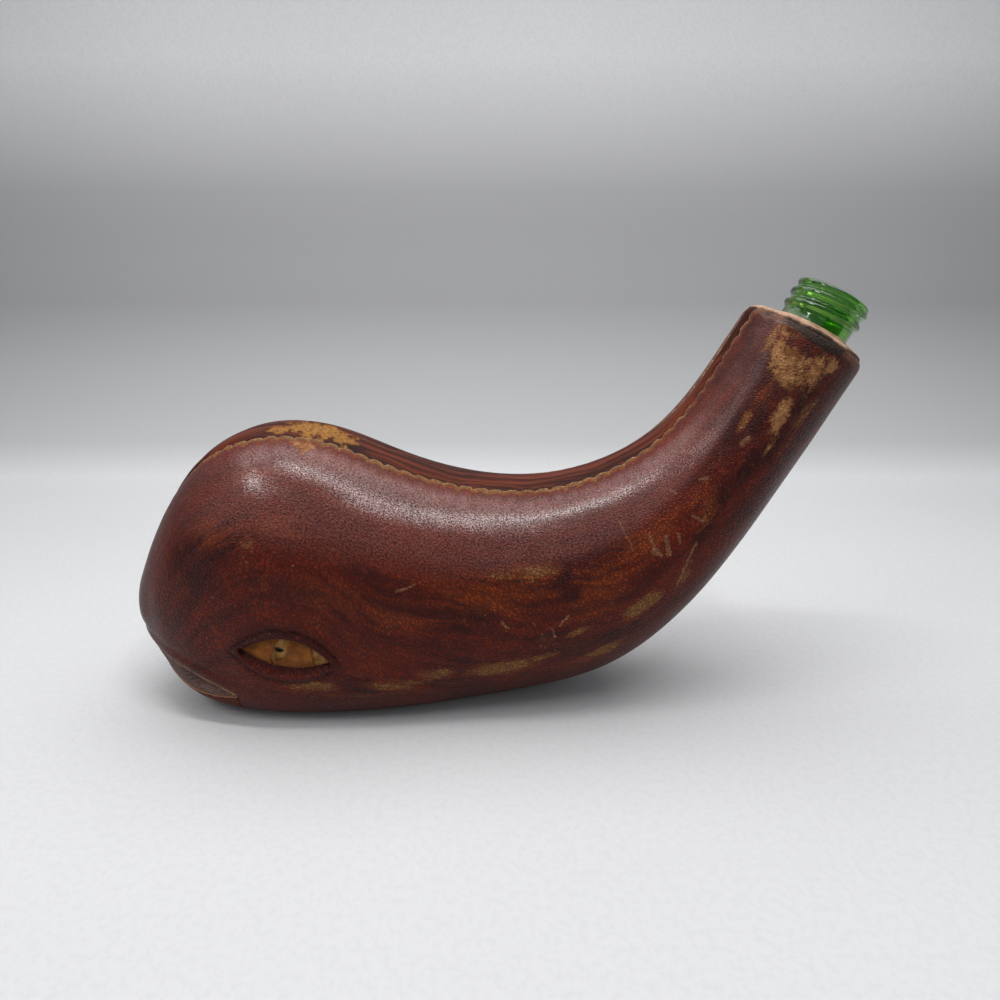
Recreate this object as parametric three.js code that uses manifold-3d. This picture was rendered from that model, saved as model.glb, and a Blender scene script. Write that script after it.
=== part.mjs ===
// Whale-shaped decanter: a blown green glass bottle wrapped in moulded leather.
// Millimetres, +Z up. The snout points to -X, the bottle neck rises to +X, the left side faces -Y.
import * as THREE from 'three';
import { mergeVertices } from 'three/addons/utils/BufferGeometryUtils.js';
import Module from 'manifold-3d';

const wasm = await Module();
wasm.setup();

// Driving sizes of the body.
const bodyLength = 266.4;
const headHeight = 105.1;
const headWidth = 83.8;
const neckEndRadius = 22.4;
const neckTilt = THREE.MathUtils.degToRad(62);
const floorSoftening = 1.0;

// Leather: a side panel's skived edge lies over a thinner strip, and both fill one full thickness.
const skivedEdge = 0.8;
const stripThickness = 1.2;
const clearance = 0.3;
const lapWidth = 4.2;
const scallopPitch = 5.5;
const scallopDepth = 2.1;
const jawRecess = 0.5;
const mouthGap = 0.7;
const cutOverrun = 4.0;
const leatherThickness = skivedEdge + clearance + stripThickness;

// Glass: the wall, thicker at the snout's end, and a screw finish of 28 mm class without its thread.
const glassWall = 3.2;
const baseThickness = 9.0;
const finishRadius = 12.4;
const finishHeight = 16.8;
const boreRadius = 9.0;
const boreFoot = 0.7;
const rimRounding = 1.2;
const finishOffset = 1.5;
const shoulderRise = 1.9;

// Neck collar: a domed leather ring over the glass shoulder and the ends of the wrap.
const collarThickness = 1.2;
const collarEdge = 0.7;
const collarInset = 0.9;

// Eyes: an almond opening with two layers of leather in it.
const eyeLength = 32.8;
const eyeUpperBow = 7.9;
const eyeLowerBow = 4.5;
const eyeTilt = THREE.MathUtils.degToRad(-8.5);
const eyeLayer = 0.8;
const eyeRecess = 0.4;
const irisWidth = 6.6;
const tearWidth = 5.2;
const tearHeight = 2.6;
const rearEndShares = [0.3, 0.26];

// Where pieces begin and end along the body, counted in ribs from the snout.
const backSeamEndRibs = 0.9;
const chinStartRibs = 0.7;
const soleEndRibs = 7.5;
const baseEndRibs = 4.5;
const cavityEndShare = 0.985;

// How finely the curved skins are divided.
const ringSteps = 24;
const lengthSteps = 24;
const scallopSteps = 3;
const eyeArcSteps = 8;
const stationsPerRib = 20;
const skinProbeShare = 0.002;
const outlineProbeShare = 0.01;

// Ribs from snout to neck: top x, top z, bottom x, bottom z, width, roundness of the top and bottom.
// x is a share of bodyLength, z of headHeight and width of headWidth.
const ribShares = [
  [0.019, 0.534, 0.010, 0.260, 0.390, 0.00, 0.00],
  [0.060, 0.732, 0.038, 0.137, 0.630, 0.01, 0.03],
  [0.115, 0.902, 0.081, 0.037, 0.826, 0.02, 0.06],
  [0.193, 0.995, 0.150, -0.018, 0.952, 0.03, 0.07],
  [0.286, 0.979, 0.243, -0.032, 0.998, 0.04, 0.07],
  [0.384, 0.882, 0.351, -0.034, 0.986, 0.04, 0.05],
  [0.482, 0.814, 0.463, -0.026, 0.918, 0.04, 0.01],
  [0.581, 0.807, 0.577, 0.008, 0.860, 0.04, -0.02],
  [0.676, 0.876, 0.694, 0.122, 0.802, 0.03, -0.01],
  [0.748, 1.001, 0.795, 0.367, 0.738, 0.02, 0.00],
  [0.795, 1.154, 0.872, 0.647, 0.672, 0.01, 0.00],
  [0.826, 1.289, 0.940, 0.937, 0.608, 0.00, 0.00],
];
const snoutShare = [0, 0.397];
const neckEndShare = [0.926, 1.303];

// Half-widths of the two strips' visible faces, rib by rib from the snout, as shares of headWidth.
const backSeamShares = [
  0.15, 0.15, 0.15, 0.16, 0.19, 0.18, 0.178, 0.165, 0.155, 0.125, 0.092, 0.07, 0.062, 0.064,
];
const bellySeamShares = [
  0.42, 0.42, 0.42, 0.36, 0.34, 0.27, 0.2, 0.165, 0.15, 0.135, 0.105, 0.077, 0.064, 0.064,
];

// The mouth in side view, from the snout back: its slit, and the lower edge of the tooled jaw band.
const mouthSlitShares = [
  [0.005, 0.269], [0.031, 0.259], [0.056, 0.241], [0.097, 0.215], [0.137, 0.170], [0.165, 0.127],
];
const jawEdgeShares = [
  [0.005, 0.183], [0.045, 0.172], [0.070, 0.132], [0.094, 0.111], [0.132, 0.106], [0.165, 0.115],
];
const eyeCentreShare = [0.241, 0.291];

// The neck axis, and the centre of the leather's end.
const neckAxis = new THREE.Vector3(Math.cos(neckTilt), 0, Math.sin(neckTilt));
const neckBack = new THREE.Vector3(-Math.sin(neckTilt), 0, Math.cos(neckTilt));
const leftward = new THREE.Vector3(0, -1, 0);
const neckEnd = new THREE.Vector3(neckEndShare[0] * bodyLength, 0, neckEndShare[1] * headHeight);

// A natural cubic spline through rows of numbers at whole-number parameters.
function naturalSpline(rows) {
  const last = rows.length - 1;
  const bends = rows.map((row) => row.map(() => 0));
  const slack = rows.map(() => 0);
  for (let i = 1; i < last; i++) {
    const pivot = 4 - slack[i - 1];
    slack[i] = 1 / pivot;
    rows[i].forEach((value, k) => {
      const load = 6 * (rows[i - 1][k] - 2 * value + rows[i + 1][k]);
      bends[i][k] = (load - bends[i - 1][k]) / pivot;
    });
  }
  for (let i = last - 1; i > 0; i--) {
    bends[i] = bends[i].map((value, k) => value - slack[i] * bends[i + 1][k]);
  }
  return (t) => {
    const i = Math.min(Math.max(Math.floor(t), 0), last - 1);
    const u = t - i;
    const v = 1 - u;
    return rows[i].map((value, k) => v * value + u * rows[i + 1][k]
      + ((v ** 3 - v) * bends[i][k] + (u ** 3 - u) * bends[i + 1][k]) / 6);
  };
}

// One curve runs from the neck over the back, round the snout and along the belly to the neck again.
const ribs = ribShares.map(([topX, topZ, bottomX, bottomZ, width, ...roundness]) => ({
  top: [topX * bodyLength, topZ * headHeight],
  bottom: [bottomX * bodyLength, bottomZ * headHeight],
  girth: [width * headWidth / 2, ...roundness],
}));
ribs.push({
  top: [neckEnd.x + neckBack.x * neckEndRadius, neckEnd.z + neckBack.z * neckEndRadius],
  bottom: [neckEnd.x - neckBack.x * neckEndRadius, neckEnd.z - neckBack.z * neckEndRadius],
  girth: [neckEndRadius, 0, 0],
});
const ribCount = ribs.length;
const snout = [snoutShare[0] * bodyLength, snoutShare[1] * headHeight];
const topToNeck = ribs.map((rib) => rib.top).reverse();
const outline = naturalSpline([...topToNeck, snout, ...ribs.map((rib) => rib.bottom)]);
const mirroredGirths = ribs.map(({ girth }) => [-girth[0], girth[1], girth[2]]).reverse();
const girths = naturalSpline([...mirroredGirths, [0, 0, 0], ...ribs.map((rib) => rib.girth)]);

// The belly is pressed flat where it would pass below the floor.
function pressedFlat(z) {
  if (z >= floorSoftening) return z;
  return z <= -floorSoftening ? 0 : (z + floorSoftening) ** 2 / (4 * floorSoftening);
}

// A point of the outer skin: t counts ribs from the snout, angle runs from the back over the left side.
function skinPoint(t, angle) {
  const top = outline(ribCount - t);
  const bottom = outline(ribCount + t);
  const [halfWidth, roundTop, roundBottom] = girths(ribCount + t);
  const roundness = (roundTop + roundBottom) / 2 + (roundTop - roundBottom) / 2 * Math.cos(angle);
  const rise = (Math.cos(angle) - roundness * Math.cos(3 * angle)) / (1 - roundness);
  const reach = (Math.sin(angle) + roundness * Math.sin(3 * angle)) / (1 - roundness);
  const x = (top[0] + bottom[0]) / 2 + (top[0] - bottom[0]) / 2 * rise;
  const z = (top[1] + bottom[1]) / 2 + (top[1] - bottom[1]) / 2 * rise;
  return new THREE.Vector3(x, -halfWidth * reach, pressedFlat(z));
}

// The outward normal, from small steps along and around the body.
function skinNormal(t, angle) {
  if (t >= ribCount) return skinPoint(ribCount, angle).sub(neckEnd).normalize();
  const along = skinPoint(t + skinProbeShare, angle).sub(skinPoint(t - skinProbeShare, angle));
  const around = skinPoint(t, angle + skinProbeShare).sub(skinPoint(t, angle - skinProbeShare));
  return around.cross(along).normalize();
}

function depthPoint(t, angle, depth) {
  return skinPoint(t, angle).addScaledVector(skinNormal(t, angle), -depth);
}

// The snout's own point, where all rib angles meet.
function poleAt(depth) {
  const ahead = outline(ribCount + skinProbeShare);
  const behind = outline(ribCount - skinProbeShare);
  const normal = new THREE.Vector3(ahead[1] - behind[1], 0, behind[0] - ahead[0]).normalize();
  return new THREE.Vector3(snout[0], 0, snout[1]).addScaledVector(normal, -depth);
}

function around(makePoint) {
  return Array.from({ length: ringSteps }, (_, j) => makePoint(2 * Math.PI * j / ringSteps));
}

function bodyRings(depth) {
  return Array.from({ length: lengthSteps }, (_, i) => {
    const t = ribCount * (i + 1) / lengthSteps;
    return around((angle) => depthPoint(t, angle, depth));
  });
}

// A ring square to the neck axis; lean shifts it off the leather's centre towards the belly side.
function neckRing(height, radius, lean = 0) {
  return around((angle) => neckEnd.clone()
    .addScaledVector(neckAxis, height)
    .addScaledVector(neckBack, radius * Math.cos(angle) - lean)
    .addScaledVector(leftward, radius * Math.sin(angle)));
}

// Solids from points and triangles, always with their faces out.
function solidFrom(points, triangles) {
  let volume = 0;
  for (const [a, b, c] of triangles) volume += points[a].dot(points[b].clone().cross(points[c]));
  const wound = volume < 0 ? triangles.map(([a, b, c]) => [a, c, b]) : triangles;
  const vertProperties = new Float32Array(points.flatMap((point) => point.toArray()));
  const triVerts = new Uint32Array(wound.flat());
  return new wasm.Manifold(new wasm.Mesh({ numProp: 3, vertProperties, triVerts }));
}

// Joins rings of equal count; with two poles it is capped, without poles the last ring meets the first.
// Each four-sided cell is split along its shorter diagonal, so that nested skins are split alike.
function ringSolid(rings, poles = []) {
  const count = rings[0].length;
  const points = [...rings.flat(), ...poles];
  const triangles = [];
  const spans = poles.length ? rings.length - 1 : rings.length;
  for (let i = 0; i < spans; i++) {
    const next = (i + 1) % rings.length;
    for (let j = 0; j < count; j++) {
      const k = (j + 1) % count;
      const [a, b, c, d] = [i * count + j, next * count + j, next * count + k, i * count + k];
      const forward = points[a].distanceTo(points[c]) < points[b].distanceTo(points[d]);
      triangles.push(...(forward ? [[a, b, c], [a, c, d]] : [[a, b, d], [b, c, d]]));
    }
  }
  poles.forEach((_, end) => {
    const ring = end === 0 ? 0 : rings.length - 1;
    for (let j = 0; j < count; j++) {
      const fan = [rings.length * count + end, ring * count + j, ring * count + (j + 1) % count];
      triangles.push(end === 0 ? fan : fan.reverse());
    }
  });
  return solidFrom(points, triangles);
}

function skinShell(outerDepth, innerDepth) {
  const rings = [...bodyRings(outerDepth), ...bodyRings(innerDepth).reverse()];
  return ringSolid(rings, [poleAt(outerDepth), poleAt(innerDepth)]);
}

// Everything deeper than a depth, carried a little past the end of the neck.
function coreSolid(depth) {
  const beyond = neckRing(cutOverrun, neckEndRadius - depth);
  const lid = neckEnd.clone().addScaledVector(neckAxis, cutOverrun);
  return ringSolid([...bodyRings(depth), beyond], [poleAt(depth), lid]);
}

// Distances along the outline, so that scallops keep an even pitch.
const stationCount = 2 * stationsPerRib * ribCount + 1;
const outlineStations = Array.from({ length: stationCount }, (_, i) => i / stationsPerRib - ribCount);
const outlineDistances = [0];
for (let i = 1; i < outlineStations.length; i++) {
  const [x, z] = outline(ribCount + outlineStations[i]);
  const [lastX, lastZ] = outline(ribCount + outlineStations[i - 1]);
  outlineDistances.push(outlineDistances[i - 1] + Math.hypot(x - lastX, z - lastZ));
}
function distanceAt(station) {
  const place = (station + ribCount) * stationsPerRib;
  const i = Math.min(Math.floor(place), outlineStations.length - 2);
  return THREE.MathUtils.lerp(outlineDistances[i], outlineDistances[i + 1], place - i);
}
function stationAt(distance) {
  const found = outlineDistances.findIndex((value) => value >= distance);
  const i = Math.max(found, 1);
  const span = outlineDistances[i] - outlineDistances[i - 1];
  const part = (distance - outlineDistances[i - 1]) / span;
  return THREE.MathUtils.lerp(outlineStations[i - 1], outlineStations[i], part);
}

function outlinePoint(station) {
  const [x, z] = outline(ribCount + station);
  return new THREE.Vector3(x, 0, pressedFlat(z));
}
function outlineNormal(station) {
  const low = outlinePoint(Math.max(station - outlineProbeShare, -ribCount));
  const high = outlinePoint(Math.min(station + outlineProbeShare, ribCount));
  return new THREE.Vector3(high.z - low.z, 0, low.x - high.x).normalize();
}

// A band along the outline, as wide as halfWidth says at each station, cutting through the skin.
function outlineBand(from, to, step, halfWidth) {
  const start = distanceAt(from);
  const count = Math.round(Math.abs(distanceAt(to) - start) / step);
  const stride = (distanceAt(to) - start) / count;
  const rings = Array.from({ length: count + 1 }, (_, i) => {
    const station = stationAt(start + stride * i);
    const width = halfWidth(station, i);
    const normal = outlineNormal(station);
    const inside = leatherThickness + cutOverrun + width / 2;
    const corner = (side, height) => outlinePoint(station)
      .addScaledVector(normal, height)
      .addScaledVector(leftward, side * width);
    return [corner(1, cutOverrun), corner(1, -inside), corner(-1, -inside), corner(-1, cutOverrun)];
  });
  for (const end of [0, rings.length - 1]) {
    const atNeck = Math.abs([from, to][end ? 1 : 0]) === ribCount;
    if (!atNeck) continue;
    const past = rings[end].map((point) => point.clone().addScaledVector(neckAxis, cutOverrun));
    if (end) rings.push(past);
    else rings.unshift(past);
  }
  const total = (ring) => ring.reduce((sum, point) => sum.add(point), new THREE.Vector3());
  const middle = (ring) => total(ring).divideScalar(ring.length);
  return ringSolid(rings, [middle(rings[0]), middle(rings[rings.length - 1])]);
}

// A prism through the left side from an outline in side view, or through both sides.
function sidePrism(points, bothSides) {
  const shape = new THREE.Shape(points.map(([x, z]) => new THREE.Vector2(x, z)));
  const depth = bothSides ? 2 * headWidth : headWidth;
  const geometry = new THREE.ExtrudeGeometry(shape, { depth, bevelEnabled: false });
  geometry.rotateX(Math.PI / 2);
  if (bothSides) geometry.translate(0, depth / 2, 0);
  return solidFromGeometry(geometry);
}
function solidFromGeometry(geometry) {
  geometry.deleteAttribute('normal');
  geometry.deleteAttribute('uv');
  const merged = mergeVertices(geometry);
  const position = merged.getAttribute('position');
  const vertex = (_, i) => new THREE.Vector3().fromBufferAttribute(position, i);
  const points = Array.from({ length: position.count }, vertex);
  const index = Array.from(merged.index.array);
  const triangles = Array.from({ length: index.length / 3 }, (_, i) => index.slice(3 * i, 3 * i + 3));
  return solidFrom(points, triangles);
}

// The mouth's two lines in side view.
const inSideView = ([x, z]) => [x * bodyLength, z * headHeight];
const slitLine = mouthSlitShares.map(inSideView);
const jawLine = jawEdgeShares.map(inSideView);
const mouthCorner = slitLine[slitLine.length - 1];

// Seam half-widths between the ribs, and the scallops cut into the side panels' edges.
function seamHalfWidth(shares, station) {
  const place = Math.min(Math.abs(station), ribCount);
  const i = Math.min(Math.floor(place), ribCount - 1);
  return THREE.MathUtils.lerp(shares[i], shares[i + 1], place - i) * headWidth;
}
function lobe(step) {
  return scallopDepth * Math.sin(Math.PI * (step % scallopSteps) / scallopSteps);
}
const backSeam = { shares: backSeamShares, from: -ribCount, to: backSeamEndRibs };
const bellySeam = { shares: bellySeamShares, from: ribCount, to: chinStartRibs };
function seamBand({ shares, from, to }, extra) {
  return outlineBand(from, to, 2 * scallopPitch, (station) => seamHalfWidth(shares, station) + extra);
}
function scallopedBand({ shares, from, to }) {
  const step = scallopPitch / scallopSteps;
  return outlineBand(from, to, step, (station, i) => seamHalfWidth(shares, station) - lobe(i));
}

// The mouth: everything below the slit as far back as its corner, and everything above the chin.
const lowered = (line, drop) => line.map(([x, z]) => [x, z - drop]);
function belowSlit(drop) {
  const line = lowered(slitLine, drop);
  const back = mouthCorner[0];
  const below = [[back, -cutOverrun], [-cutOverrun, -cutOverrun]];
  return sidePrism([[-cutOverrun, line[0][1]], ...line, ...below], true);
}
function behindMouth() {
  const front = mouthCorner[0] - clearance;
  const back = 2 * bodyLength;
  return sidePrism([[front, -cutOverrun], [back, -cutOverrun], [back, back], [front, back]], true);
}
function aboveJaw(drop) {
  const line = lowered(jawLine, drop);
  const back = mouthCorner[0];
  const above = [[back, headHeight], [-cutOverrun, headHeight]];
  return sidePrism([[-cutOverrun, line[0][1]], ...line, ...above], true);
}

// The eye's almond of two arcs, shrunk all round by a margin.
function almond(margin) {
  const half = eyeLength / 2 - 2 * margin;
  const bow = (sagitta) => (along) => (sagitta - margin) * (1 - along ** 2);
  const shares = Array.from({ length: eyeArcSteps + 1 }, (_, i) => 2 * i / eyeArcSteps - 1);
  const upper = shares.map((along) => [along * half, bow(eyeUpperBow)(along)]);
  const lower = shares.slice(1, -1).map((along) => [-along * half, -bow(eyeLowerBow)(along)]);
  return [...upper, ...lower].map(fromEye);
}
function fromEye([x, z]) {
  const [centreX, centreZ] = inSideView(eyeCentreShare);
  const [cos, sin] = [Math.cos(eyeTilt), Math.sin(eyeTilt)];
  return [centreX + x * cos - z * sin, centreZ + x * sin + z * cos];
}
const eyeTop = 2 * eyeUpperBow;
const tearMiddle = -irisWidth / 3;
const [tearFront, tearRear] = [tearMiddle - irisWidth / 2, tearMiddle + irisWidth / 2];
const [rearLowEnd, rearHighEnd] = rearEndShares.map((share) => share * eyeLength);
const [holeFront, holeRear] = [tearMiddle - tearWidth / 2, tearMiddle + tearWidth / 2];
const holeWaist = tearMiddle - tearWidth / 4;
const eyeCuts = {
  front: [[-eyeLength, -eyeTop], [tearFront, -eyeTop], [tearFront, eyeTop], [-eyeLength, eyeTop]],
  rear: [[tearRear, -eyeTop], [rearLowEnd, -eyeTop], [rearHighEnd, eyeTop], [tearRear, eyeTop]],
  hole: [[holeFront, tearHeight / 2], [holeWaist, tearHeight], [holeRear, tearHeight / 2], [holeWaist, 0]],
};
const eyePrism = (name) => sidePrism(eyeCuts[name].map(fromEye), false);

// Left side panel: the full skin less the laps, the scalloped seams, the mouth and the eye.
const underLaps = coreSolid(skivedEdge);
const fullSkin = skinShell(0, leatherThickness);
const stripSkin = skinShell(skivedEdge + clearance, leatherThickness);
const leftHalf = solidFromGeometry(new THREE.BoxGeometry(2 * bodyLength, headWidth, 2 * bodyLength)
  .translate(0, -headWidth / 2, 0));
const eyeOpening = sidePrism(almond(0), false);
function seamCut(seam) {
  return scallopedBand(seam).add(seamBand(seam, lapWidth + clearance).intersect(underLaps));
}
const leftPanel = fullSkin.intersect(leftHalf)
  .subtract(belowSlit(0))
  .subtract(eyeOpening)
  .subtract(seamCut(backSeam))
  .subtract(seamCut(bellySeam).intersect(behindMouth()));

// Strips, jaw band and the eye's leather.
const backStrip = stripSkin.intersect(seamBand(backSeam, lapWidth)).subtract(belowSlit(0));
const soleBand = seamBand({ ...bellySeam, from: soleEndRibs }, -scallopDepth - clearance);
const bellyStrip = stripSkin.intersect(seamBand(bellySeam, lapWidth))
  .add(fullSkin.intersect(soleBand))
  .subtract(aboveJaw(clearance));
const lowerJaw = skinShell(jawRecess, leatherThickness)
  .intersect(belowSlit(mouthGap))
  .intersect(aboveJaw(0));
const eyeShape = sidePrism(almond(clearance), false);
const eyeBackingDepth = eyeRecess + eyeLayer + clearance;
const eyeBacking = skinShell(eyeBackingDepth, eyeBackingDepth + eyeLayer)
  .intersect(eyeShape)
  .subtract(eyePrism('hole'));
const eyeFace = skinShell(eyeRecess, eyeRecess + eyeLayer).intersect(eyeShape);
const eyeFront = eyeFace.intersect(eyePrism('front'));
const eyeRear = eyeFace.intersect(eyePrism('rear'));

// Glass bottle: the body inside the leather, its shoulder and screw finish, and the bore and cavity.
const glassDepth = leatherThickness + clearance;
function cavityRings() {
  const steps = lengthSteps / 2;
  return Array.from({ length: steps }, (_, i) => {
    const t = ribCount * cavityEndShare * (i + 1) / steps;
    const thickening = (baseThickness - glassWall) * Math.max(0, 1 - t / baseEndRibs) ** 2;
    return around((angle) => depthPoint(t, angle, glassDepth + glassWall + thickening));
  });
}
function bottle() {
  const rim = finishHeight;
  const finishRing = (height, radius) => neckRing(height, radius, finishOffset);
  const outer = [
    ...bodyRings(glassDepth),
    finishRing(shoulderRise, finishRadius),
    finishRing(rim - rimRounding, finishRadius),
    finishRing(rim, finishRadius - rimRounding),
  ];
  const inner = [
    finishRing(rim, boreRadius + rimRounding / 2),
    finishRing(rim - rimRounding / 2, boreRadius),
    finishRing(boreFoot, boreRadius),
  ];
  const cavity = cavityRings().reverse();
  const poles = [poleAt(glassDepth), poleAt(glassDepth + baseThickness)];
  return ringSolid([...outer, ...inner, ...cavity], poles);
}

// Neck collar, eccentric because the finish leans to the belly side of the wrap.
function collar() {
  const seat = neckEndRadius - glassDepth;
  const inner = finishRadius + clearance;
  const rise = shoulderRise + clearance;
  const outer = neckEndRadius - collarInset;
  return ringSolid([
    neckRing(rise, inner, finishOffset),
    neckRing(clearance, seat),
    neckRing(clearance, outer),
    neckRing(clearance + collarEdge, outer),
    neckRing(clearance + collarThickness, seat),
    neckRing(rise + collarThickness, inner, finishOffset),
  ]);
}

// Meshes and their finishes.
function leather(color, roughness) {
  return new THREE.MeshStandardMaterial({ color, roughness, metalness: 0 });
}
const finishes = {
  panel: leather(0x6b2a16, 0.42),
  strip: leather(0x50241a, 0.5),
  collar: leather(0x8a5a3c, 0.6),
  tooled: leather(0x4a2f2a, 0.55),
  rawLeather: leather(0x9a6a30, 0.7),
  backing: leather(0x7a4a20, 0.75),
  glass: new THREE.MeshStandardMaterial({ color: 0x2f7a1e, roughness: 0.08, transparent: true }),
};
finishes.glass.opacity = 0.6;

function meshOf(name, solid, finish, mirrored = false) {
  const { vertProperties, triVerts } = solid.getMesh();
  const geometry = new THREE.BufferGeometry();
  geometry.setAttribute('position', new THREE.BufferAttribute(Float32Array.from(vertProperties), 3));
  geometry.setIndex(Array.from(triVerts));
  if (mirrored) {
    geometry.scale(1, -1, 1);
    geometry.setIndex(Array.from(geometry.index.array).reverse());
  }
  geometry.computeVertexNormals();
  const mesh = new THREE.Mesh(geometry, finish);
  mesh.name = name;
  return mesh;
}

const decanter = new THREE.Group();
decanter.add(meshOf('glass_bottle', bottle(), finishes.glass));
decanter.add(meshOf('back_strip', backStrip, finishes.strip));
decanter.add(meshOf('belly_strip', bellyStrip, finishes.strip));
decanter.add(meshOf('lower_jaw', lowerJaw, finishes.tooled));
decanter.add(meshOf('neck_collar', collar(), finishes.collar));
for (const side of ['left', 'right']) {
  const mirrored = side === 'right';
  decanter.add(meshOf(`side_panel_${side}`, leftPanel, finishes.panel, mirrored));
  decanter.add(meshOf(`eye_backing_${side}`, eyeBacking, finishes.backing, mirrored));
  decanter.add(meshOf(`eye_front_${side}`, eyeFront, finishes.rawLeather, mirrored));
  decanter.add(meshOf(`eye_rear_${side}`, eyeRear, finishes.rawLeather, mirrored));
}

// The origin is the middle of the footprint's box, on the floor.
const reach = new THREE.Box3().setFromObject(decanter);
decanter.position.x = -(reach.min.x + reach.max.x) / 2;

export default decanter;
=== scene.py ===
# %% [markdown]
# A decanter in the shape of a resting whale: a green glass bottle, wrapped all over in moulded leather.
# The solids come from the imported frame. This lesson dresses them: it lays fine leather skins where the
# plain shells are, gives each its grain, stains and wear, and sets up a plain photographer's table.

# %% Load the frame
import bpy
import math
import numpy as np
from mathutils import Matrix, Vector


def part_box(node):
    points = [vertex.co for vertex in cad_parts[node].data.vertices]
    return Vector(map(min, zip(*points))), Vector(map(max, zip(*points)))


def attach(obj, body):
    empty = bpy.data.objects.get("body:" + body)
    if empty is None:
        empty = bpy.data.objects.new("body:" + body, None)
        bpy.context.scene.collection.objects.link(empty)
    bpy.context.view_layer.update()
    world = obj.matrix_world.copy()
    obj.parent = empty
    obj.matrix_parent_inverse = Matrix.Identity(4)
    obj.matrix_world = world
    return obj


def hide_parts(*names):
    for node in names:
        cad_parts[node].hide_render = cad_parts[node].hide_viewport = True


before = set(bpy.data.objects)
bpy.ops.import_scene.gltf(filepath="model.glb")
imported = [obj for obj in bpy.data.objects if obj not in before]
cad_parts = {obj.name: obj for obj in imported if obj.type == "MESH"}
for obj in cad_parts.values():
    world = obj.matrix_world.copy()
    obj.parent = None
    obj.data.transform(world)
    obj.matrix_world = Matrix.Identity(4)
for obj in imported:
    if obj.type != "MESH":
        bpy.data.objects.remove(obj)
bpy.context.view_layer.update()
scene = bpy.context.scene
mm = 0.001
print("nodes:", len(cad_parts))

# %% [markdown]
# The body has no flat side and no axis. It is lofted over thirteen ribs, as a boat is, and one smooth
# curve runs from the neck over the back, round the snout and along the belly. The sizes here are those of
# the real piece, and the rib places are shares of them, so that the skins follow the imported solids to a
# fraction of a millimetre.

# %% Sizes of the body
body_length = 266.4 * mm
head_height = 105.1 * mm
head_width = 83.8 * mm
neck_end_radius = 22.4 * mm
neck_tilt = math.radians(62)
floor_softening = 1.0 * mm
skived_edge = 0.8 * mm
strip_thickness = 1.2 * mm
clearance = 0.3 * mm
leather_thickness = skived_edge + clearance + strip_thickness
collar_inset = 0.9 * mm

# Ribs from snout to neck: top x, top z, bottom x, bottom z, width, roundness of the top and of the bottom.
rib_shares = [
    [0.019, 0.534, 0.010, 0.260, 0.390, 0.00, 0.00],
    [0.060, 0.732, 0.038, 0.137, 0.630, 0.01, 0.03],
    [0.115, 0.902, 0.081, 0.037, 0.826, 0.02, 0.06],
    [0.193, 0.995, 0.150, -0.018, 0.952, 0.03, 0.07],
    [0.286, 0.979, 0.243, -0.032, 0.998, 0.04, 0.07],
    [0.384, 0.882, 0.351, -0.034, 0.986, 0.04, 0.05],
    [0.482, 0.814, 0.463, -0.026, 0.918, 0.04, 0.01],
    [0.581, 0.807, 0.577, 0.008, 0.860, 0.04, -0.02],
    [0.676, 0.876, 0.694, 0.122, 0.802, 0.03, -0.01],
    [0.748, 1.001, 0.795, 0.367, 0.738, 0.02, 0.00],
    [0.795, 1.154, 0.872, 0.647, 0.672, 0.01, 0.00],
    [0.826, 1.289, 0.940, 0.937, 0.608, 0.00, 0.00],
]
snout_share = (0.0, 0.397)
neck_end_share = (0.926, 1.303)
neck_axis = np.array([math.cos(neck_tilt), 0, math.sin(neck_tilt)])
neck_back = np.array([-math.sin(neck_tilt), 0, math.cos(neck_tilt)])
leftward = np.array([0.0, -1.0, 0.0])

# The form is drawn with its snout at x = 0. The collar's box says where the frame has the neck.
neck_end = np.array([neck_end_share[0] * body_length, 0, neck_end_share[1] * head_height])
collar_low_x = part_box("neck_collar")[0][0]
collar_reach = (neck_end_radius - collar_inset) * math.sin(neck_tilt) - clearance * math.cos(neck_tilt)
form_shift = np.array([collar_low_x + collar_reach - neck_end[0], 0, 0])
print("the form moves along x by mm:", round(form_shift[0] / mm, 2))


# %% Curves through the ribs
def natural_spline(rows):
    """A natural cubic spline through rows of numbers, as a function of a whole-number parameter."""
    rows = np.array(rows, float)
    last = len(rows) - 1
    matrix = np.eye(last + 1)
    load = np.zeros_like(rows)
    for i in range(1, last):
        matrix[i, i - 1:i + 2] = (1, 4, 1)
        load[i] = 6 * (rows[i - 1] - 2 * rows[i] + rows[i + 1])
    bends = np.linalg.solve(matrix, load)

    def at(t):
        i = np.clip(np.floor(t).astype(int), 0, last - 1)
        u = (t - i)[..., None]
        v = 1 - u
        return v * rows[i] + u * rows[i + 1] + ((v ** 3 - v) * bends[i] + (u ** 3 - u) * bends[i + 1]) / 6

    return at


top_rail = [(row[0] * body_length, row[1] * head_height) for row in rib_shares]
bottom_rail = [(row[2] * body_length, row[3] * head_height) for row in rib_shares]
girth_rail = [(row[4] * head_width / 2, row[5], row[6]) for row in rib_shares]
end_step = neck_back * neck_end_radius
top_rail.append((neck_end[0] + end_step[0], neck_end[2] + end_step[2]))
bottom_rail.append((neck_end[0] - end_step[0], neck_end[2] - end_step[2]))
girth_rail.append((neck_end_radius, 0, 0))
rib_count = len(top_rail)
snout = (snout_share[0] * body_length, snout_share[1] * head_height)
outline = natural_spline(top_rail[::-1] + [snout] + bottom_rail)
girths = natural_spline([(-w, a, b) for w, a, b in girth_rail[::-1]] + [(0, 0, 0)] + girth_rail)
print("ribs:", rib_count)


# %% Points and normals of the outer skin
def pressed_flat(z):
    """The belly is flat where it would pass below the table."""
    soft = (z + floor_softening) ** 2 / (4 * floor_softening)
    return np.where(z >= floor_softening, z, np.where(z <= -floor_softening, 0, soft))


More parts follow.
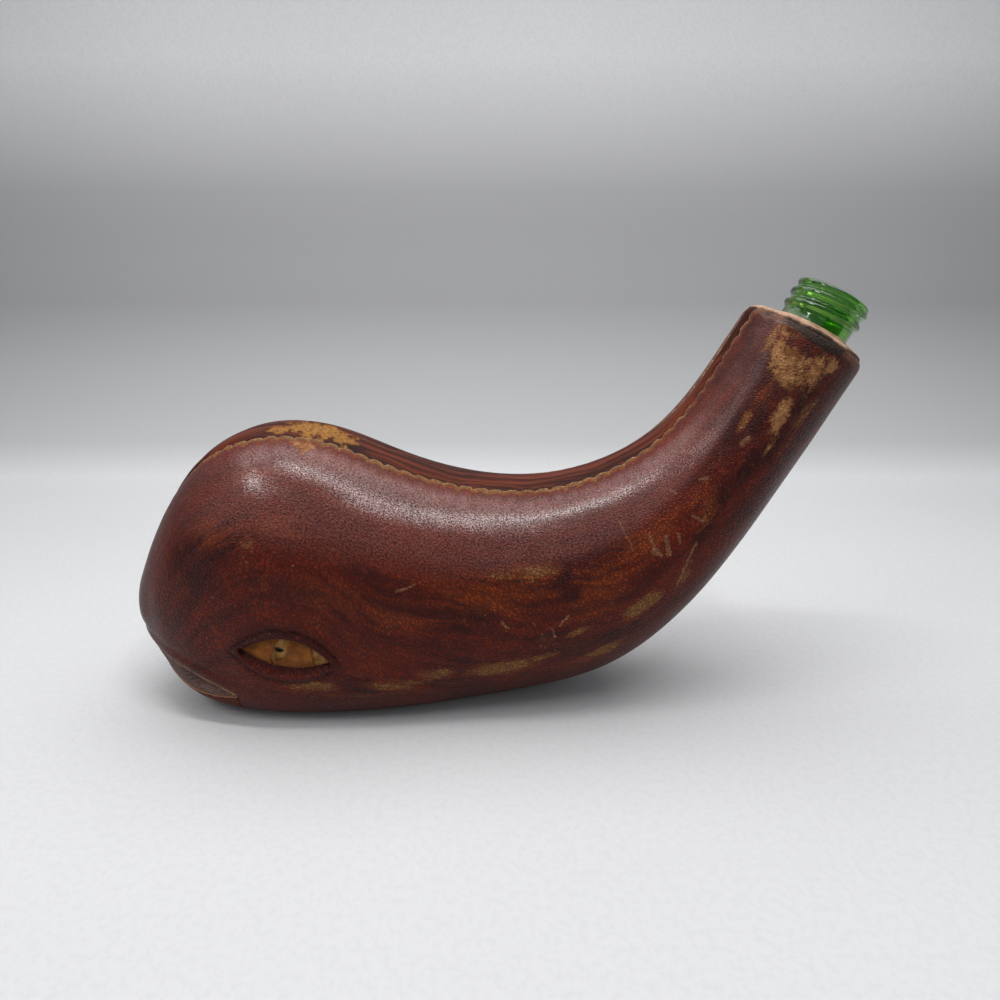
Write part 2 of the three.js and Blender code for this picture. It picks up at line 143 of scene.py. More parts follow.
def skin_point(spots):
    """spots holds rib numbers and angles; the angle runs from the back over the left side to the belly."""
    t, angle = spots[..., 0], spots[..., 1]
    top, bottom, girth = outline(rib_count - t), outline(rib_count + t), girths(rib_count + t)
    half_width, round_top, round_bottom = girth[..., 0], girth[..., 1], girth[..., 2]
    roundness = (round_top + round_bottom) / 2 + (round_top - round_bottom) / 2 * np.cos(angle)
    up = (np.cos(angle) - roundness * np.cos(3 * angle)) / (1 - roundness)
    reach = (np.sin(angle) + roundness * np.sin(3 * angle)) / (1 - roundness)
    middle, half = (top + bottom) / 2, (top - bottom) / 2
    x = middle[..., 0] + half[..., 0] * up
    z = pressed_flat(middle[..., 1] + half[..., 1] * up)
    return np.stack([x, -half_width * reach, z], -1)


def skin_normal(spots):
    step = 0.002
    t = np.clip(spots[..., 0], 2 * step, rib_count - step)
    angle = spots[..., 1]
    along = skin_point(np.stack([t + step, angle], -1)) - skin_point(np.stack([t - step, angle], -1))
    around = skin_point(np.stack([t, angle + step], -1)) - skin_point(np.stack([t, angle - step], -1))
    normal = np.cross(around, along)
    return normal / np.linalg.norm(normal, axis=-1, keepdims=True)


sample = skin_point(np.stack(np.meshgrid(np.linspace(0, rib_count, 200), np.linspace(0, math.pi, 60)), -1))
print("form in mm:", np.round(np.ptp(sample.reshape(-1, 3), axis=0) / mm, 1))

# %% [markdown]
# A leather skin is cut from a fine sheet of triangles, as a pattern piece is cut from hide. The sheet
# lives in two numbers, the rib and the angle, and a cut keeps what lies on the positive side of a field.
# Triangles that the cut crosses are split along it, so that scallops, slits and torn edges come out crisp
# without a very fine mesh.


# %% Sheets
def even_ribs(first, last, spacing):
    """Rib numbers whose places along the body lie an even distance apart."""
    fine = np.linspace(first, last, 4000)
    paths = [skin_point(np.stack([fine, np.full_like(fine, angle)], -1)) for angle in (0.6, 1.6, 2.6)]
    steps = np.mean([np.linalg.norm(np.diff(path, axis=0), axis=1) for path in paths], axis=0)
    run = np.concatenate([[0], np.cumsum(steps)])
    count = max(int(run[-1] / spacing), 2)
    return np.interp(np.linspace(0, run[-1], count + 1), run, fine)


def grid_faces(index):
    """Two triangles for each cell of a grid of point numbers."""
    a, b = index[:-1, :-1].ravel(), index[1:, :-1].ravel()
    c, d = index[1:, 1:].ravel(), index[:-1, 1:].ravel()
    return np.concatenate([np.stack([a, b, c], -1), np.stack([a, c, d], -1)])


def sheet(ribs, angles, closed=False):
    """A sheet of spots and triangles. A closed one goes round the body, with a fan over the snout."""
    spots = np.stack(np.meshgrid(ribs, angles, indexing="ij"), -1).reshape(-1, 2)
    index = np.arange(len(spots)).reshape(len(ribs), len(angles))
    if closed:
        index = np.concatenate([index, index[:, :1]], axis=1)
    faces = grid_faces(index)
    if closed:
        fan = np.stack([np.full(len(angles), len(spots)), index[0, :-1], index[0, 1:]], -1)
        faces = np.concatenate([faces, fan])
        spots = np.concatenate([spots, [[0, 0]]])
    return spots, faces


# %% Cuts
def cut(spots, faces, field):
    """Keeps the part of a sheet where the field is positive."""
    value = field(spots)
    value = np.where(np.abs(value) < 1e-7, 1e-7, value)
    inside = value > 0
    corners_in = inside[faces].sum(1)
    mixed = faces[(corners_in == 1) | (corners_in == 2)]
    lone_in = inside[mixed].sum(1) == 1
    lone = np.where(lone_in[:, None], inside[mixed], ~inside[mixed]).argmax(1)
    row = np.arange(len(mixed))
    a, b, c = mixed[row, lone], mixed[row, (lone + 1) % 3], mixed[row, (lone + 2) % 3]
    edges = np.sort(np.concatenate([np.stack([a, b], -1), np.stack([a, c], -1)]), axis=1)
    edges, place = np.unique(edges, axis=0, return_inverse=True)
    u, v = edges[:, 0], edges[:, 1]
    share = value[u] / (value[u] - value[v])
    added = spots[u] + share[:, None] * (spots[v] - spots[u])
    place = place.reshape(-1) + len(spots)
    ab, ac = place[:len(mixed)], place[len(mixed):]
    out = ~lone_in
    faces = np.concatenate([
        faces[corners_in == 3],
        np.stack([a, ab, ac], -1)[lone_in],
        np.stack([ab, b, c], -1)[out],
        np.stack([ab, c, ac], -1)[out],
    ])
    spots = np.concatenate([spots, added])
    used, faces = np.unique(faces, return_inverse=True)
    return spots[used], faces.reshape(-1, 3)


def rim_of(faces):
    """Directed edges that only one triangle has."""
    edges = np.concatenate([faces[:, [0, 1]], faces[:, [1, 2]], faces[:, [2, 0]]])
    key = np.sort(edges, axis=1)
    _, place, count = np.unique(key, axis=0, return_inverse=True, return_counts=True)
    return edges[count[place.reshape(-1)] == 1]


# %% Fields that shape the pattern pieces
scallop_pitch = 5.5 * mm
scallop_depth = 2.1 * mm
lap_width = 4.2 * mm
mouth_gap = 0.7 * mm
back_seam_shares = [0.15, 0.15, 0.15, 0.16, 0.19, 0.18, 0.178, 0.165, 0.155, 0.125, 0.092, 0.07, 0.062, 0.064]
belly_seam_shares = [0.42, 0.42, 0.42, 0.36, 0.34, 0.27, 0.2, 0.165, 0.15, 0.135, 0.105, 0.077, 0.064, 0.064]
mouth_slit_shares = [(0.005, 0.269), (0.031, 0.259), (0.056, 0.241), (0.097, 0.215), (0.137, 0.170),
                     (0.165, 0.127)]
jaw_edge_shares = [(0.005, 0.183), (0.045, 0.172), (0.070, 0.132), (0.094, 0.111), (0.132, 0.106),
                   (0.165, 0.115)]
mouth_corner_x = mouth_slit_shares[-1][0] * body_length
far_off = 20 * mm
lowest_back_cosine = -0.09
snout_ribs = 1.2

stations = np.linspace(-rib_count, rib_count, 2600)
outline_points = outline(rib_count + stations)
outline_run = np.concatenate([[0], np.cumsum(np.linalg.norm(np.diff(outline_points, axis=0), axis=1))])


def on_back(spots):
    """True where the back strip is the nearest: above the flank's middle, and all round the snout."""
    return (np.cos(spots[..., 1]) > lowest_back_cosine) | (spots[..., 0] < snout_ribs)


def seam_half_width(spots):
    """Half the visible width of the strip that is nearest, without the scallops."""
    rib_numbers = np.arange(rib_count + 1)
    back = np.interp(spots[..., 0], rib_numbers, back_seam_shares) * head_width
    belly = np.interp(spots[..., 0], rib_numbers, belly_seam_shares) * head_width
    return np.where(on_back(spots), back, belly)


print("seams at", len(back_seam_shares), "stations")


# %% Scallops, slit and seams as fields
def lobes(spots):
    """The scallops: round lobes along the panel's edge, an even distance apart along the seam."""
    station = np.where(on_back(spots), -spots[..., 0], spots[..., 0])
    run = np.interp(station, stations, outline_run)
    return scallop_depth * np.abs(np.sin(np.pi * run / scallop_pitch)) ** 0.6


def line_height(x, shares):
    line = np.array(shares) * (body_length, head_height)
    return np.interp(x, line[:, 0], line[:, 1])


def past_seams(spots):
    """Positive on the side panels, zero along their scalloped edges."""
    point = skin_point(spots)
    beyond = np.abs(point[..., 1]) - seam_half_width(spots) + lobes(spots)
    ahead_of_corner = mouth_corner_x - point[..., 0]
    return np.where(on_back(spots), beyond, np.maximum(beyond, ahead_of_corner))


def above_slit(spots):
    point = skin_point(spots)
    return np.maximum(point[..., 2] - line_height(point[..., 0], mouth_slit_shares),
                      point[..., 0] - mouth_corner_x)


print("outline in mm:", round(outline_run[-1] / mm))

# %% [markdown]
# The eye is an almond of two arcs. The upper lid lies over the eye's leather, and below it the opening
# slopes in like the edge of a dish. All of it is drawn in the eye's own tilted axes, in millimetres on
# the whale's flank.

# %% The eye's own axes
eye_length = 32.8 * mm
eye_upper_bow = 7.9 * mm
eye_lower_bow = 4.5 * mm
eye_tilt = math.radians(-8.5)
eye_centre = np.array([0.241 * body_length, 0.291 * head_height])


def in_eye(spots):
    """Distance along and above the eye's chord, and the almond's field: negative inside it."""
    point = skin_point(spots)
    x, z = point[..., 0] - eye_centre[0], point[..., 2] - eye_centre[1]
    u = x * math.cos(eye_tilt) + z * math.sin(eye_tilt)
    v = -x * math.sin(eye_tilt) + z * math.cos(eye_tilt)
    bow = 1 - (2 * u / eye_length) ** 2
    field = np.maximum(v - eye_upper_bow * bow, -v - eye_lower_bow * bow)
    return u, v, field


def outside_eye(spots):
    return in_eye(spots)[2]


lower_lid_drop = 2.7 * mm


def bump(distance, width):
    return np.exp(-(distance / width) ** 2)


def rise(value, start, end):
    share = np.clip((value - start) / (end - start), 0, 1)
    return share * share * (3 - 2 * share)


print("eye centre in mm:", np.round(eye_centre / mm, 1))

# %% Hand-formed relief
# Pace along, turns round, start and height in mm of slow waves in the hide.
waves = [(0.9, 3.0, 0.3, 0.22), (1.7, -2.0, 1.9, 0.14), (2.6, 4.0, 0.7, 0.08), (0.55, 5.0, 2.4, 0.12),
         (3.4, -6.0, 1.1, 0.05)]
lid_heights = {"rim": 0.95 * mm, "crease": -0.55 * mm, "brow": 0.5 * mm,
               "crest": 0.6 * mm, "wall": -1.5 * mm, "fold": -0.45 * mm}


def lid_fields(spots):
    """Parts of the lids, from 0 to 1: three above the eye, then the lower lid's wall, crest and fold."""
    u, v, field = in_eye(spots)
    out = np.maximum(field, 0)
    upper = rise(v + 0.06 * u, -1.4 * mm, 1.2 * mm)
    reach = 1 - rise(np.abs(u), 0.52 * eye_length, 0.72 * eye_length)
    band = lower_lid_drop * np.clip(1 - (2 * u / eye_length) ** 2, 0.02, 1) ** 0.6
    return {
        "rim": reach * upper * bump(out - 0.9 * mm, 1.25 * mm),
        "crease": reach * upper * bump(out - 3.0 * mm, 0.75 * mm),
        "brow": reach * upper * bump(out - 5.4 * mm, 1.8 * mm),
        "wall": reach * (1 - upper) * (1 - rise(out, 0.5 * band, 1.1 * band)),
        "crest": reach * (1 - upper) * bump(out - band - 0.9 * mm, 1.1 * mm),
        "fold": reach * (1 - upper) * bump(out - band - 2.9 * mm, 0.9 * mm),
    }


def relief(spots, side):
    """How far the moulded leather stands out of the smooth form. side is 1 on the left, -1 on the right."""
    t, angle = spots[..., 0], spots[..., 1]
    u, v, _ = in_eye(spots)
    lid = lid_fields(spots)
    lids = sum(height * lid[part] for part, height in lid_heights.items())
    behind = rise(u, 0.3 * eye_length, 0.5 * eye_length) * (1 - rise(u, 1.1 * eye_length, 1.9 * eye_length))
    tail = v + 4.2 * mm + 0.05 * (u - 0.5 * eye_length)
    crease = behind * (0.35 * mm * bump(tail - 2.0 * mm, 1.5 * mm) - 0.5 * mm * bump(tail, 0.9 * mm))
    point = skin_point(spots)
    lip_height = point[..., 2] - line_height(point[..., 0], mouth_slit_shares)
    ahead = 1 - rise(point[..., 0], 0.75 * mouth_corner_x, 1.2 * mouth_corner_x)
    lip = ahead * mm * (0.3 * bump(lip_height - 2.0 * mm, 1.6 * mm)
                        - 0.25 * bump(lip_height - 5.0 * mm, 1.4 * mm))
    sway = sum(mm * size * np.sin(pace * t * 2.1 + turn * angle + start * side)
               for pace, turn, start, size in waves)
    calm = rise(t, 0.4, 2.0) * (1 - rise(t, 12.2, 13.0)) * np.sin(angle) ** 2
    return lids + crease + lip + sway * calm


# %% [markdown]
# Each leather piece gets a thickness from the way leather is cut and laid: the panels are skived thin
# where they lap over a strip. The upper corner of a cut edge is rubbed round, so the outermost ring of
# points sinks a little.


# %% A smooth object
def smooth_object(name, points, faces, attributes=None):
    """A mesh object with smooth faces, sharp where the surface turns by more than fifty degrees."""
    mesh = bpy.data.meshes.new(name)
    mesh.from_pydata(points.tolist(), [], faces.tolist())
    mesh.shade_smooth()
    mesh.set_sharp_from_angle(angle=math.radians(50))
    for key, values in (attributes or {}).items():
        mesh.attributes.new(key, "FLOAT", "POINT").data.foreach_set("value", values.astype(np.float32))
    piece = bpy.data.objects.new(name, mesh)
    scene.collection.objects.link(piece)
    return piece


# %% Where a spot lies on the flat hide
rib_samples = np.linspace(0, rib_count, 500)
run_paths = [skin_point(np.stack([rib_samples, np.full_like(rib_samples, a)], -1)) for a in (0.6, 1.6, 2.6)]
run_steps = np.mean([np.linalg.norm(np.diff(path, axis=0), axis=1) for path in run_paths], axis=0)
run_samples = np.concatenate([[0], np.cumsum(run_steps)])
half_rounds = skin_point(np.stack(np.meshgrid(rib_samples, np.linspace(0, math.pi, 60), indexing="ij"), -1))
radius_samples = np.linalg.norm(np.diff(half_rounds, axis=1), axis=2).sum(1) / math.pi
dm = 100 * mm
print("length of the hide in mm:", round(run_samples[-1] / mm))


def flat_place(spots):
    """Where a spot lies on the flat hide: along the body, and round it from the middle of the back."""
    along = np.interp(spots[..., 0], rib_samples, run_samples)
    return along, spots[..., 1] * np.interp(spots[..., 0], rib_samples, radius_samples)


def place_map(piece, along, girth):
    """A UV map in decimetres, along the body and round it, for stains that follow the hide."""
    layer = piece.data.uv_layers.new(name="hide")
    corners = np.empty(len(piece.data.loops), dtype=np.int32)
    piece.data.loops.foreach_get("vertex_index", corners)
    layer.data.foreach_set("uv", np.stack([along[corners], girth[corners]], -1).astype(np.float32).ravel())


# %% A thick skin
def thick_skin(name, spots, faces, outer, inner, side=1, fields=None, flat=None, rounding=0.25 * mm):
    """A closed leather piece between two depths under the form, on the right side if side is -1."""
    edges = rim_of(faces)
    on_rim = np.zeros(len(spots), bool)
    on_rim[edges.ravel()] = True
    point, normal = skin_point(spots), skin_normal(spots)
    top = point - normal * (outer + rounding * on_rim)[:, None]
    under = point - normal * inner[:, None]
    count = len(spots)
    walls = np.concatenate([
        np.stack([edges[:, 1], edges[:, 0], edges[:, 0] + count], -1),
        np.stack([edges[:, 1], edges[:, 0] + count, edges[:, 1] + count], -1),
    ])
    triangles = np.concatenate([faces, faces[:, ::-1] + count, walls])
    points = np.concatenate([top, under]) + form_shift
    volume = np.einsum("ij,ij->", points[triangles[:, 0]],
                       np.cross(points[triangles[:, 1]], points[triangles[:, 2]]))
    if side < 0:
        points = points * (1, -1, 1)
    if (volume < 0) != (side < 0):
        triangles = triangles[:, ::-1]
    doubled = {key: np.concatenate([values, values]) for key, values in (fields or {}).items()}
    piece = smooth_object(name, points, triangles, doubled)
    along, wrap = flat_place(spots) if flat is None else flat
    place_map(piece, np.concatenate([along, along]) / dm, np.concatenate([wrap, wrap]) * side / dm)
    print(name, "has", len(triangles), "triangles")
    return piece


# %% [markdown]
# Wear isn't random on this piece. The ochre patches sit where the flank rubs on a shelf, the neck is bare
# where a hand holds it, and the lids are dark from dye. Each is a soft mark at a place on the hide, kept
# as a number on the mesh, and the material later breaks its outline up with noise. That is simpler than
# unwrapping and painting a picture.


# %% Soft marks on the hide
def marks(spots, rows):
    """The strongest of some soft marks. A row: rib, degrees, half-length and half-width in mm, strength."""
    along, _ = flat_place(spots)
    radius = np.interp(spots[:, 0], rib_samples, radius_samples)
    total = np.zeros(len(spots))
    for rib, degrees, length, width, strength in rows:
        centre, _ = flat_place(np.array([rib, 0.0]))
        across = (spots[:, 1] - math.radians(degrees)) * radius
        off = ((along - centre) / (length * mm)) ** 2 + (across / (width * mm)) ** 2
        total = np.maximum(total, strength * np.exp(-off))
    return total


ochre_left = [(5.2, 119, 13, 3.5, 0.95), (6.2, 118, 14, 4, 1.0), (6.7, 113, 10, 4, 0.9),
              (7.5, 114, 16, 5, 1.1), (7.7, 67, 21, 4.5, 0.85), (9.2, 103, 11, 4.5, 1.15),
              (8.7, 122, 12, 4, 1.05), (8.4, 100, 7, 2, 0.9), (8.0, 111, 9, 3, 0.85),
              (9.8, 105, 8, 9, 0.72), (4.1, 115, 6, 3, 0.7), (4.3, 71, 5, 3, 0.8),
              (10.2, 82, 10, 8, 0.66), (12.0, 108, 18, 5, 0.7), (11.2, 65, 7, 2.5, 0.95),
              (12.5, 47, 10, 2, 1.1), (5.8, 124, 30, 3, 0.66), (9.4, 77, 3, 3, 0.8)]
ochre_right = [(4.5, 96, 12, 6, 0.9), (6.0, 112, 26, 5, 1.0), (7.6, 98, 18, 6, 0.95),
               (8.8, 118, 14, 5, 1.0), (9.6, 84, 9, 7, 0.85), (11.0, 104, 14, 7, 0.9),
               (12.3, 60, 9, 5, 0.95), (5.4, 58, 8, 4, 0.7)]
bare_left = [(12.3, 70, 11, 14, 1.12), (12.45, 58, 6, 7, 0.95), (12.5, 92, 9, 7, 1.05),
             (11.75, 87, 12, 5, 1.05), (12.7, 104, 5, 6, 1.0), (11.4, 94, 9, 2.5, 0.85),
             (12.75, 56, 5, 8, 0.9)]
bare_right = [(12.2, 96, 12, 9, 1.05), (11.4, 80, 8, 5, 0.9), (12.7, 130, 6, 8, 0.9)]
dark_left = [(3.5, 84, 8, 8, 0.9), (3.2, 72, 9, 7, 0.9), (4.9, 51, 9, 7, 0.75), (4.5, 33, 8, 6, 0.7),
             (5.1, 84, 22, 5, 0.7), (5.8, 74, 16, 4, 0.75), (8.2, 71, 4, 4, 1.1), (8.3, 81, 5, 4, 1.1),
             (11.0, 60, 12, 7, 1.1), (11.4, 72, 9, 5, 1.2), (11.0, 88, 8, 4, 1.1), (10.4, 86, 11, 5, 1.1),
             (10.1, 92, 10, 6, 0.9), (11.9, 50, 9, 6, 0.8), (9.3, 92, 12, 3, 0.8), (6.4, 98, 30, 3, 0.65),
             (8.4, 112, 10, 2, 0.8), (7.0, 100, 16, 2.5, 0.6), (4.6, 98, 22, 5, 0.6)]
dark_right = [(3.4, 70, 14, 12, 0.9), (5.6, 84, 26, 8, 0.8), (8.0, 76, 16, 6, 0.9),
              (10.8, 78, 16, 9, 1.1), (9.4, 110, 16, 5, 0.8)]
warm_left = [(3.7, 65, 8, 6, 0.9), (4.7, 64, 14, 5, 0.85), (4.2, 44, 10, 5, 0.7), (5.3, 84, 14, 6, 0.7),
             (7.4, 78, 34, 9, 0.75), (8.6, 84, 18, 12, 0.8), (9.3, 70, 16, 8, 0.7), (6.2, 88, 18, 7, 0.7),
             (11.6, 66, 12, 3, 0.8), (10.2, 70, 12, 6, 0.6)]
warm_right = [(4.0, 60, 12, 9, 0.8), (6.4, 82, 34, 10, 0.8), (8.8, 84, 22, 12, 0.8),
              (10.6, 92, 14, 8, 0.7)]
stain_left = [(12.95, 88, 7, 9, 1.25), (12.95, 66, 4, 12, 0.8), (12.95, 35, 3, 6, 0.7)]
stain_right = [(12.95, 70, 7, 14, 1.0)]
print("marks on the left side:", sum(map(len, (ochre_left, bare_left, dark_left, warm_left))))

# %% [markdown]
# Each side panel is one hide, wetted, stretched over the bottle and left to dry, so it has no sharp fold.
# The eye's lids are pushed up from the flank with a bone tool, and its long edges are pinked into
# scallops and pasted over the strips. The grid is finer round the eye than elsewhere, which saves
# triangles where nothing happens.

# %% Values and helpers of the side panels
panel_spacing = 1.15 * mm
eye_spacing = 0.72 * mm
neck_roll = 3.2 * mm
torn_rows = [(4.85, 4, 12, 11, 1.15), (4.45, 10, 8, 5, 1.0), (5.2, 8, 6, 6, 1.05)]
bald_rows = [(4.8, 24, 4.4, 3.6, 1.3)]
torn_limits = (0.5, 0.62)
# The lower edge of the shining coat and of the painted sheen, as degrees at ribs.
sheen_edge_ribs = [0, 3, 5, 6.8, 8, 9, 10, 13]
sheen_edge_degrees = [60, 64, 72, 70, 64, 62, 58, 50]


def graded(first, last, fine_first, fine_last, coarse_step, fine_step):
    """Numbers from first to last with smaller steps in one stretch."""
    parts = [(first, fine_first, coarse_step), (fine_first, fine_last, fine_step),
             (fine_last, last, coarse_step)]
    values = [np.linspace(a, b, max(round((b - a) / step), 1), endpoint=False) for a, b, step in parts]
    return np.concatenate(values + [[last]])


def ragged(spots, size, seed):
    """Smooth noise between about -1 and 1, from a few crossing waves."""
    chance = np.random.default_rng(seed)
    point = skin_point(spots)
    total = np.zeros(len(spots))
    for _ in range(9):
        wave = chance.normal(size=3) / size
        total += np.sin(point @ wave + chance.uniform(0, 2 * math.pi))
    return total / 4


def end_roll(spots):
    """How far a hide rolls over at the neck's end."""
    left = np.clip((neck_end - skin_point(spots)) @ neck_axis, 0, neck_roll) / neck_roll
    return 0.9 * leather_thickness * (1 - np.sqrt(1 - (1 - left) ** 2))


# %% Side panels
run_rows = graded(0, run_samples[-1] - neck_roll, 62 * mm, 118 * mm, panel_spacing, eye_spacing)
roll_rows = run_samples[-1] - neck_roll * np.array([0.8, 0.6, 0.45, 0.3, 0.2, 0.1, 0.04, 0])
fine_ribs = np.interp(np.concatenate([run_rows, roll_rows]), run_samples, rib_samples)
fine_angles = np.radians(graded(1.5, 178.5, 96, 134, 1.62, 1.05))
print("panel grid:", len(fine_ribs), "by", len(fine_angles))
panels = {}
for side_name, side in (("left", 1), ("right", -1)):
    spots, faces = sheet(fine_ribs[3:], fine_angles)
    for field in (past_seams, above_slit, outside_eye):
        spots, faces = cut(spots, faces, field)
    edge = np.maximum(past_seams(spots), 0)
    torn = (marks(spots, torn_rows) + 0.25 * ragged(spots, 1.3 * mm, 4)) * (side > 0)
    torn = rise(torn, *torn_limits)
    bald = (marks(spots, bald_rows) + 0.3 * ragged(spots, 1.4 * mm, 9)) * (side > 0)
    bald = rise(bald, *torn_limits)
    lap_sink = 0.25 * mm * bump(edge, 2.2 * mm) + 0.06 * mm * ragged(spots, 2.4 * mm, 7) * bump(edge, 4 * mm)
    outer = end_roll(spots) + lap_sink + (torn * 0.35 + bald * 0.2) * mm - relief(spots, side)
    inner = np.where(edge < lap_width, skived_edge,
                     skived_edge + 1.5 * mm * rise(edge, lap_width, 1.3 * lap_width))
    inner = np.maximum(inner, outer + 0.25 * mm)
    # The low mark is the lower flank. The material tints it purple-brown as a painted reflection of the
    # floor.
    low = rise(np.degrees(spots[:, 1]), 118, 140) * (1 - rise(spots[:, 0], 10.5, 12.0))
    sheen_edge = np.interp(spots[:, 0], sheen_edge_ribs, sheen_edge_degrees)
    # Where the coat shines. The material also paints the base a paler pink there, as painted sheen.
    polish_and_sheen = rise(np.degrees(spots[:, 1]), sheen_edge + 5, sheen_edge - 5) * rise(edge, 2 * mm, 11 * mm)
    polish_and_sheen = polish_and_sheen * (1 - 0.75 * rise(spots[:, 0], 9.6, 11.2)) * rise(spots[:, 0], 2.0, 4.2)
    lid = lid_fields(spots)
    dye = lid["rim"] + 0.9 * lid["crease"] + 0.35 * lid["brow"] + 0.9 * lid["fold"] + 0.3 * lid["crest"]
    below_end = (skin_point(spots) - neck_end) @ neck_axis
    brim = rise(below_end, -4.6 * mm, -1.2 * mm)
    stain = rise(below_end, -5.5 * mm, -2.2 * mm) * marks(spots, stain_left if side > 0 else stain_right)
    fields = {
        "edge": edge / mm,
        "seam": bump(edge, 5.2 * mm) * np.where(on_back(spots), 1.1 - 0.35 * rise(spots[:, 0], 8, 12), 0.75),
        "wear": marks(spots, ochre_left if side > 0 else ochre_right),
        "bare": marks(spots, bare_left if side > 0 else bare_right),
        "dark": marks(spots, dark_left if side > 0 else dark_right),
        "warm": marks(spots, warm_left if side > 0 else warm_right),
        "low": low,
        "polish_and_sheen": polish_and_sheen,
        "lid": np.clip(dye, 0, 1),
        "wall": lid["wall"],
        "brim": brim,
        "stain": stain,
        "torn": torn,
        "bald": bald,
    }
    panels[side_name] = thick_skin("panel_hide_" + side_name, spots, faces, outer, inner, side, fields)

# %% [markdown]
# The two strips close the hide over the back and under the belly. They are thinner than the panels and
# lie deeper by one lap, so the scallops cast a fine shadow on them, and the strips also carry painted
# shadow, along the scallops on the back and along the seams and under the jaw on the belly. The belly's
# sole is as thick as a panel, since the piece stands on it. The back strip goes round the snout, where the
# lofted sheet would end in a hole, and is closed there by a fan.

# %% Back strip
strip_depth = skived_edge + clearance
strip_angles = np.linspace(0, 2 * math.pi, 200, endpoint=False)
shaded_rows = [(5.35, 14, 9, 7, 0.9), (4.95, 17, 7, 3, 0.8)]


def in_back_strip(spots):
    reach = seam_half_width(spots) + lap_width - np.abs(skin_point(spots)[..., 1])
    return np.where(on_back(spots), reach, -mm)


spots, faces = sheet(even_ribs(0.04, rib_count, 1.1 * mm), strip_angles, closed=True)
for field in (in_back_strip, above_slit):
    spots, faces = cut(spots, faces, field)
point = skin_point(spots)
inside = np.clip(seam_half_width(spots) - np.abs(point[:, 1]), 0, None)
turned = np.where(spots[:, 1] > math.pi, spots[:, 1] - 2 * math.pi, spots[:, 1])
torn = marks(np.stack([spots[:, 0], turned], -1), torn_rows) + 0.3 * ragged(spots, 1.2 * mm, 4)
torn = rise(torn, *torn_limits)
crown = 1.35 * mm * rise(inside, 0.4 * mm, 4.6 * mm) * rise(spots[:, 0], 0.5, 3)
wrinkle = np.sin(point[:, 1] / (1.1 * mm) + 1.5 * ragged(spots, 30 * mm, 3))
creases = 0.12 * mm * wrinkle * rise(inside, 1 * mm, 3 * mm)
pits = 0.16 * mm * ragged(spots, 0.8 * mm, 12) * torn
outer = strip_depth - crown + creases + end_roll(spots) * 0.6 + 0.55 * mm * torn + pits
inner = np.full(len(spots), leather_thickness)
# Painted shadow: the strip is darker in a band along the scallops' edges.
groove = rise(inside - lobes(spots), 1.5 * mm, 0.2 * mm) * rise(inside, 0, 0.5 * mm)
shaded = marks(np.stack([spots[:, 0], turned], -1), shaded_rows)
fields = {"edge": np.full(len(spots), far_off / mm), "torn": torn, "dark": np.maximum(groove, shaded)}
flat = (np.interp(spots[:, 0], rib_samples, run_samples), -point[:, 1])
back_strip = thick_skin("back_strip_hide", spots, faces, outer, np.maximum(inner, outer + 0.3 * mm), 1,
                        fields, flat)

# %% Belly strip
sole_end_ribs = 7.5
sole_fade_ribs = 0.4


def in_belly_strip(spots):
    point = skin_point(spots)
    ahead = point[..., 0] < mouth_corner_x
    reach = seam_half_width(spots) + lap_width - np.abs(point[..., 1])
    reach = np.maximum(reach, mouth_corner_x - clearance - point[..., 0])
    below_jaw = line_height(point[..., 0], jaw_edge_shares) - clearance - point[..., 2]
    below_jaw = np.where(ahead, below_jaw, far_off)
    return np.where(on_back(spots) & (spots[..., 0] > snout_ribs), -mm, np.minimum(reach, below_jaw))


spots, faces = sheet(even_ribs(0.6, rib_count, 1.3 * mm), np.linspace(0.52 * math.pi, 1.48 * math.pi, 110))
spots, faces = cut(spots, faces, in_belly_strip)
point = skin_point(spots)
seam_distance = np.clip(seam_half_width(spots) - scallop_depth - clearance - np.abs(point[:, 1]), 0, None)
ahead = point[:, 0] < mouth_corner_x
sole = np.where(ahead, 1, rise(seam_distance, 0, 1.0 * mm))
sole = sole * (1 - rise(spots[:, 0], sole_end_ribs - sole_fade_ribs, sole_end_ribs))
outer = strip_depth * (1 - sole) + end_roll(spots) * 0.6 + 0.05 * mm * ragged(spots, 6 * mm, 21)
under_jaw = (line_height(point[:, 0], jaw_edge_shares) - point[:, 2]) / mm
shadow = np.where(ahead, 0.25, 0.8 * rise(seam_distance, 1.2 * mm, 0))
fields = {"edge": np.where(ahead, under_jaw, far_off / mm), "torn": np.zeros(len(spots)), "dark": shadow}
flat = (np.interp(spots[:, 0], rib_samples, run_samples), -point[:, 1])
inner = np.full(len(spots), leather_thickness)
belly_strip = thick_skin("belly_strip_hide", spots, faces, np.maximum(outer, 0), inner, 1, fields, flat)

# %% [markdown]
# Under the mouth's slit runs a U-shaped band, tooled with fine slanting lines by a small wheel or a blunt
# blade. The band is one more skin. The lines are drawn on it as short paths, and a Geometry Nodes tree
# turns every path into a low rounded ridge, with its radius as a named input. A bump map could do it, but
# its lines would be too soft here.

# %% Lower jaw
jaw_recess = 0.5 * mm
jaw_first_rib, jaw_last_rib = 0.25, 4.2
jaw_first_angle = 0.4 * math.pi


def in_jaw(spots):
    point = skin_point(spots)
    below_slit = line_height(point[..., 0], mouth_slit_shares) - mouth_gap - point[..., 2]
    above_edge = point[..., 2] - line_height(point[..., 0], jaw_edge_shares)
    return np.minimum(np.minimum(below_slit, above_edge), mouth_corner_x - point[..., 0])


def jaw_depth(spots):
    """The band lies deeper at the front, and comes up to the form at the mouth's corner."""
    x = skin_point(spots)[:, 0]
    return jaw_recess * (1 - rise(x, 0.55 * mouth_corner_x, 0.95 * mouth_corner_x))


